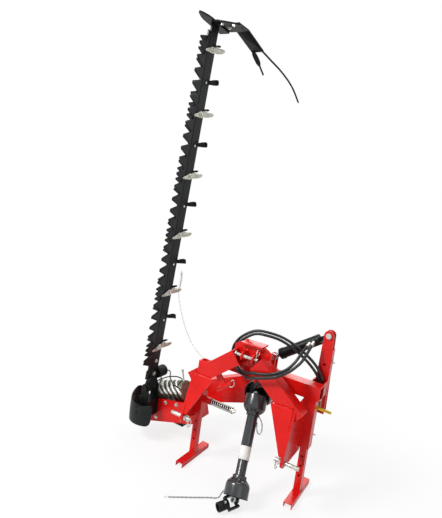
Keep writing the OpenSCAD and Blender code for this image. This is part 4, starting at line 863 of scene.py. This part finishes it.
root_y = BOARD_FLAT + BOARD_FALL * math.cos(BOARD_SLOPE) - ROD_INSET
root_z = BOARD_HALF_T - (BOARD_FALL - ROD_INSET) * math.sin(BOARD_SLOPE)
whips = []
for x, bends in ((ROD_X, LONG_ROD), (-ROD_X, SHORT_ROD)):
    root = Vector((x, root_y, root_z))
    line = route([BOARD @ ((root + Vector(bend)) / 1000) for bend in bends], ROD_STEPS)
    whips.append(swept(line, [ROD_R] * (len(line) - 1) + [ROD_R * ROD_TIP_SHARE], sides=12))
whips.append(swept(line[SLEEVE_FROM : SLEEVE_FROM + len(SLEEVE_RADII)], SLEEVE_RADII, sides=16))
rods = piece("whip_rods", whips, BLACK, "swath")
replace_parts(rods, "swath_rods")

# Transport chain: short-link plated chain from the bar's hook down to the frame, its spare end in a hank. It
# is unhooked from the frame before the bar goes down, and then lies along the bar on the guides' tails.
LINK_STEPS, LINK_SIDES, LINK_TURN = 12, 6, math.radians(45)


def links(line, pitch, width, wire):
    """Corners and faces of chain links along a line, each turned a quarter from the last."""
    marks = [0.0]
    for a, b in zip(line, line[1:]):
        marks.append(marks[-1] + (b - a).length)
    count = max(2, round(marks[-1] / pitch))
    half = pitch * 0.5 + wire - width / 2
    shapes = []
    for n in range(count):
        want = marks[-1] * (n + 0.5) / count
        i = max(k for k in range(len(marks) - 1) if marks[k] <= want)
        part = (want - marks[i]) / (marks[i + 1] - marks[i])
        stand = aimed(line[i].lerp(line[i + 1], part), line[i + 1] - line[i])
        stand = stand @ Matrix.Rotation(QUARTER * (n % 2) + LINK_TURN, 4, "Z")
        loop = []
        for k in range(LINK_STEPS):
            turn = 2 * math.pi * k / LINK_STEPS
            shift = half if math.sin(turn) > 0 else -half
            loop.append(stand @ Vector((width / 2 * math.cos(turn), 0, width / 2 * math.sin(turn) + shift)))
        shapes.append(swept(loop, wire / 2, LINK_SIDES, closed=True))
    return shapes


# A link's pitch, width and wire, and the chain's thickness over all, in metres.
CHAIN_LINK, CHAIN_D, CHAIN_STEPS = (0.014, 0.0056, 0.0019), 0.007, 6
CHAIN = [
    (-622, 170, 1033), (-612, 176, 1000), (-596, 174, 950), (-557, 168, 866), (-501, 162, 773),
    (-430, 157, 694), (-366, 154, 652), (-325, 152, 632), (-305, 151, 620),
]
line = route([ground(*spot) for spot in CHAIN], CHAIN_STEPS)
chain = piece("chain_links", links(line, *CHAIN_LINK), ZINC, "cutter_bar")
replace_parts(chain, "transport_chain")
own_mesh(chain)
HANK_GAP, HANK_STEPS = 7, 8
strands = []
for over in (-HANK_GAP, 0, HANK_GAP):
    ends = [(30, 170, 812 + over), (33, 176 + over, 780), (35, 177 + over, 740), (36, 176, 700 + over)]
    strands += links(route([BAR @ (Vector(end) / 1000) for end in ends], HANK_STEPS), *CHAIN_LINK)
hank = piece("chain_hank", strands, ZINC, "cutter_bar")

# Driveline: forged crosses and yokes on two steel tubes that telescope, inside moulded guards. Each guard has
# a bell of the same plastic over its joint, stiffened by rings and fins that are drawn in black enamel as
# painted shade, and the upper one has a pale band.
dress(STEEL, "pto_lower_shaft", "yoke_button")
dress(PLASTIC, "pto_upper_guard", "pto_lower_guard")
dress(BLACK, "pto_yoke")
# Forgings that were blackened in oil are dark grey, with dull metal showing through in patches.
DARK = finish(
    "steel",
    "blackened forging",
    tones=("#17191a", "#222527"),
    blotch=26,
    rough=(0.3, 0.46),
    grain=1.6,
    lift=0.14,
    soil="#45474a",
    soiled=0.4,
    Metallic=0.5,
)
dress(DARK, "upper_cross", "lower_cross", "pto_upper_shaft")
# Vinyl film is an even, slightly warm white with almost no shine.
PALE = finish(
    "guard_plastic",
    "pale vinyl film",
    tones=("#f0efec", "#e4e3df"),
    blotch=20,
    rough=(0.4, 0.55),
    grain=1.4,
    lift=0.05,
)
JOINT_AT, PTO_DIP, PTO_SWING, PTO_L = (40, 214, 505), math.radians(55.4), math.radians(9.75), 573.7
PTO = (
    Matrix.Translation(ground(*JOINT_AT))
    @ Matrix.Rotation(PTO_DIP, 4, "X")
    @ Matrix.Rotation(PTO_SWING, 4, "Z")
    @ Matrix.Rotation(QUARTER, 4, "X")
)
BELL = [
    (66, 7), (67.6, 9), (67.8, 70), (66.6, 79), (63, 87), (56, 94),
    (47, 100), (45, 99), (54, 92), (61, 85), (64.8, 78), (66, 69),
]
# The rings and fins are the bell's own plastic, drawn in black enamel: painted shade, so that they read as
# dark lines.
COLLARS = ((112, 33, 3.6), (124, 33, 2.4))
LIP_R, LIP_WIRE, UPPER_LIP, LOWER_LIP = 66, 2.6, 8, 18
FINS, FIN_WIRE = 12, 0.003
FIN = ((60, 88), (50, 97), (41, 105), (34, 114))
for base, way, mouth, body in ((0, 1, UPPER_LIP, "driveline"), (PTO_L, -1, LOWER_LIP, "telescope")):
    shapes = []
    for height, radius, wire in ((mouth, LIP_R, LIP_WIRE), *COLLARS):
        stand = PTO @ Matrix.Translation((0, 0, (base + way * height) / 1000))
        shapes.append(hoop(stand, radius, wire, steps=64, sides=8))
    for k in range(FINS):
        turn = 2 * math.pi * k / FINS
        fin = [around(PTO, radius, turn, base + way * height) for radius, height in FIN]
        shapes.append(swept(fin, FIN_WIRE, sides=8))
    piece(f"cone_shade_ribs_{body}", shapes, BLACK, body)
    skirt = [(radius, base + way * max(mouth, height)) for radius, height in BELL]
    piece(f"cone_bell_{body}", [turned(PTO, skirt, sides=64, closed=True)], PLASTIC, body)
BAND = [(31.4, 296), (32.0, 296), (32.7, 297), (32.7, 367), (32.0, 368), (31.4, 368)]
piece("guard_band", [turned(PTO, BAND, closed=True)], PALE, "driveline")

# Guard chains: light welded chain hooked in each guard, so that the guard can't turn with the shaft. The
# upper one hangs in a loop beside the tube, and the lower one lies on the ground and ends in a snap hook.
GUARD_LINK, GUARD_CHAIN_D, GUARD_STEPS = (0.0115, 0.0062, 0.0022), 0.0068, 6
TETHER = [
    (95, 151, 412), (108, 150, 402), (124, 150, 378), (132, 144, 346), (128, 134, 322),
    (116, 126, 326), (106, 126, 352), (101, 130, 376), (94, 131, 386),
]
GROUND_CHAIN = [
    (70, -90, 64), (58, -95, 52), (49, -100, 34), (42, -106, 14), (28, -116, 5), (0, -136, 4),
    (-40, -170, 4), (-80, -205, 4), (-120, -238, 4), (-150, -264, 4), (-175, -284, 4),
]
SNAP_WIRE, SNAP_STEPS = 0.0014, 4
SNAP_HOOK = [
    (0, 0, 0), (3, 0, 5), (5, 0, 12), (3, 0, 20),
    (-3, 0, 20), (-5, 0, 12), (-3, 0, 6), (-1, 0, 2),
]
for name, node, spots, body, far, paint in (
    ("tether_links", "guard_tether", TETHER, "driveline", "object", BLACK),
    ("ground_links", "guard_chain", GROUND_CHAIN, "telescope", "fitting", DARK),
):
    line = route([ground(*spot) for spot in spots], GUARD_STEPS)
    chain = piece(name, links(line, *GUARD_LINK), paint, body)
    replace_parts(chain, node)
    if far == "fitting":
        stand = aimed(line[-1], line[-1] - line[-2])
        hook = route([stand @ (Vector(spot) / 1000) for spot in SNAP_HOOK], SNAP_STEPS)
        piece("snap_hook", [swept(hook, SNAP_WIRE, sides=8)], ZINC, body)

# Studio floor: a sweep of white paper. The camera and bright metal see it as plain white, with a faint shadow
# close to the mower and none away from it.
FLOOR_SIZE, FLOOR_DROP = 40, 0.0005
SHADOW_NEAR, SHADOW_FAR, WHITE_SHARE = 0.7, 2.0, 0.82
PAPER, WHITE = (0.85, 0.85, 0.85, 1), (1, 1, 1, 1)


def shown(tree):
    """Output that is 1 for the rays that see a background: from the camera, mirrored, or through glass."""
    path = add(tree, "ShaderNodeLightPath").outputs
    mirrored = add(
        tree,
        "ShaderNodeMath",
        {0: path["Is Camera Ray"], 1: path["Is Glossy Ray"]},
        operation="MAXIMUM",
    )
    either = add(
        tree,
        "ShaderNodeMath",
        {0: mirrored.outputs[0], 1: path["Is Transmission Ray"]},
        operation="MAXIMUM",
    )
    return either.outputs[0]


bpy.ops.mesh.primitive_plane_add(size=FLOOR_SIZE, location=(0, 0, GROUND_Z - FLOOR_DROP))
floor = bpy.context.object
floor.name = "floor"
# Matt paper spreads the light back on to the mower and has no shine.
paper = bpy.data.materials.new("white paper")
paper.use_nodes = True
tree = paper.node_tree
tree.nodes.clear()
matt = add(tree, "ShaderNodeBsdfDiffuse", {"Color": PAPER})
plain = add(tree, "ShaderNodeEmission", {"Color": WHITE, "Strength": 1.0})
spot = add(tree, "ShaderNodeTexCoord").outputs["Object"]
away = add(tree, "ShaderNodeVectorMath", {0: spot}, operation="LENGTH")
bare = add(
    tree,
    "ShaderNodeMapRange",
    {
        "Value": away.outputs["Value"],
        "From Min": SHADOW_NEAR,
        "From Max": SHADOW_FAR,
        "To Min": WHITE_SHARE,
        "To Max": 1.0,
    },
    interpolation_type="SMOOTHSTEP",
)
part = add(tree, "ShaderNodeMath", {0: shown(tree), 1: bare.outputs["Result"]}, operation="MULTIPLY")
both = add(
    tree,
    "ShaderNodeMixShader",
    {0: part.outputs[0], 1: matt.outputs["BSDF"], 2: plain.outputs["Emission"]},
)
add(tree, "ShaderNodeOutputMaterial", {"Surface": both.outputs["Shader"]})
floor.data.materials.append(paper)

# Studio light: a white room that is seen at full strength and lights softly, with four square softboxes. The
# key stands to the front left, and the others fill from the right, the back and above.
ROOM_LIGHT = 0.16
world = bpy.data.worlds.new("studio")
world.use_nodes = True
scene.world = world
tree = world.node_tree
tree.nodes.clear()
glow = add(tree, "ShaderNodeBackground", {"Color": WHITE, "Strength": ROOM_LIGHT})
seen = add(tree, "ShaderNodeBackground", {"Color": WHITE, "Strength": 1.0})
both = add(
    tree,
    "ShaderNodeMixShader",
    {0: shown(tree), 1: glow.outputs["Background"], 2: seen.outputs["Background"]},
)
add(tree, "ShaderNodeOutputWorld", {"Surface": both.outputs["Shader"]})
SOFTBOXES = {
    "key": {"at": (-2.2, -3.0, 3.0), "aim": (-0.1, 0, 0), "size": 1.2, "watts": 215},
    "fill": {"at": (3.4, -2.4, 1.4), "aim": (0, 0, 0), "size": 2.6, "watts": 22},
    "back": {"at": (-1.0, 3.6, 2.2), "aim": (0, 0, 0), "size": 2.6, "watts": 70},
    "top": {"at": (0.2, 0.6, 4.2), "aim": (0, 0, 0), "size": 2.4, "watts": 70},
}
for name, softbox in SOFTBOXES.items():
    light = bpy.data.lights.new(name, "AREA")
    light.size = softbox["size"]
    light.energy = softbox["watts"]
    lamp = bpy.data.objects.new(name, light)
    lamp.location = softbox["at"]
    beam = Vector(softbox["aim"]) - Vector(softbox["at"])
    lamp.rotation_euler = beam.to_track_quat("-Z", "Y").to_euler()
    scene.collection.objects.link(lamp)

# Camera: at eye height in front of the mower and to its right, looking slightly down. It was solved on the
# hitch pins, the feet and the bar's ends.
CAMERA_AT = Vector((0.962, -2.007 - PIN_Y, 1.566 + GROUND_Z))
CAMERA_YAW, CAMERA_PITCH, CAMERA_ROLL = (math.radians(a) for a in (30.47, -6.31, 7.83))
FOCAL_PX, PHOTO_H, SENSOR = 406.7, 518, 36
level = Vector((math.cos(CAMERA_YAW), math.sin(CAMERA_YAW), 0))
look = Vector((-math.sin(CAMERA_YAW), math.cos(CAMERA_YAW), 0)) * math.cos(CAMERA_PITCH)
look.z = math.sin(CAMERA_PITCH)
upright = level.cross(look)
right = math.cos(CAMERA_ROLL) * level + math.sin(CAMERA_ROLL) * upright
top = math.cos(CAMERA_ROLL) * upright - math.sin(CAMERA_ROLL) * level
camera_data = bpy.data.cameras.new("camera")
camera_data.sensor_fit = "VERTICAL"
camera_data.sensor_height = SENSOR
camera_data.lens = SENSOR * FOCAL_PX / PHOTO_H
camera = bpy.data.objects.new("camera", camera_data)
camera.matrix_world = Matrix.Translation(CAMERA_AT) @ Matrix((right, top, -look)).transposed().to_4x4()
scene.collection.objects.link(camera)
scene.camera = camera
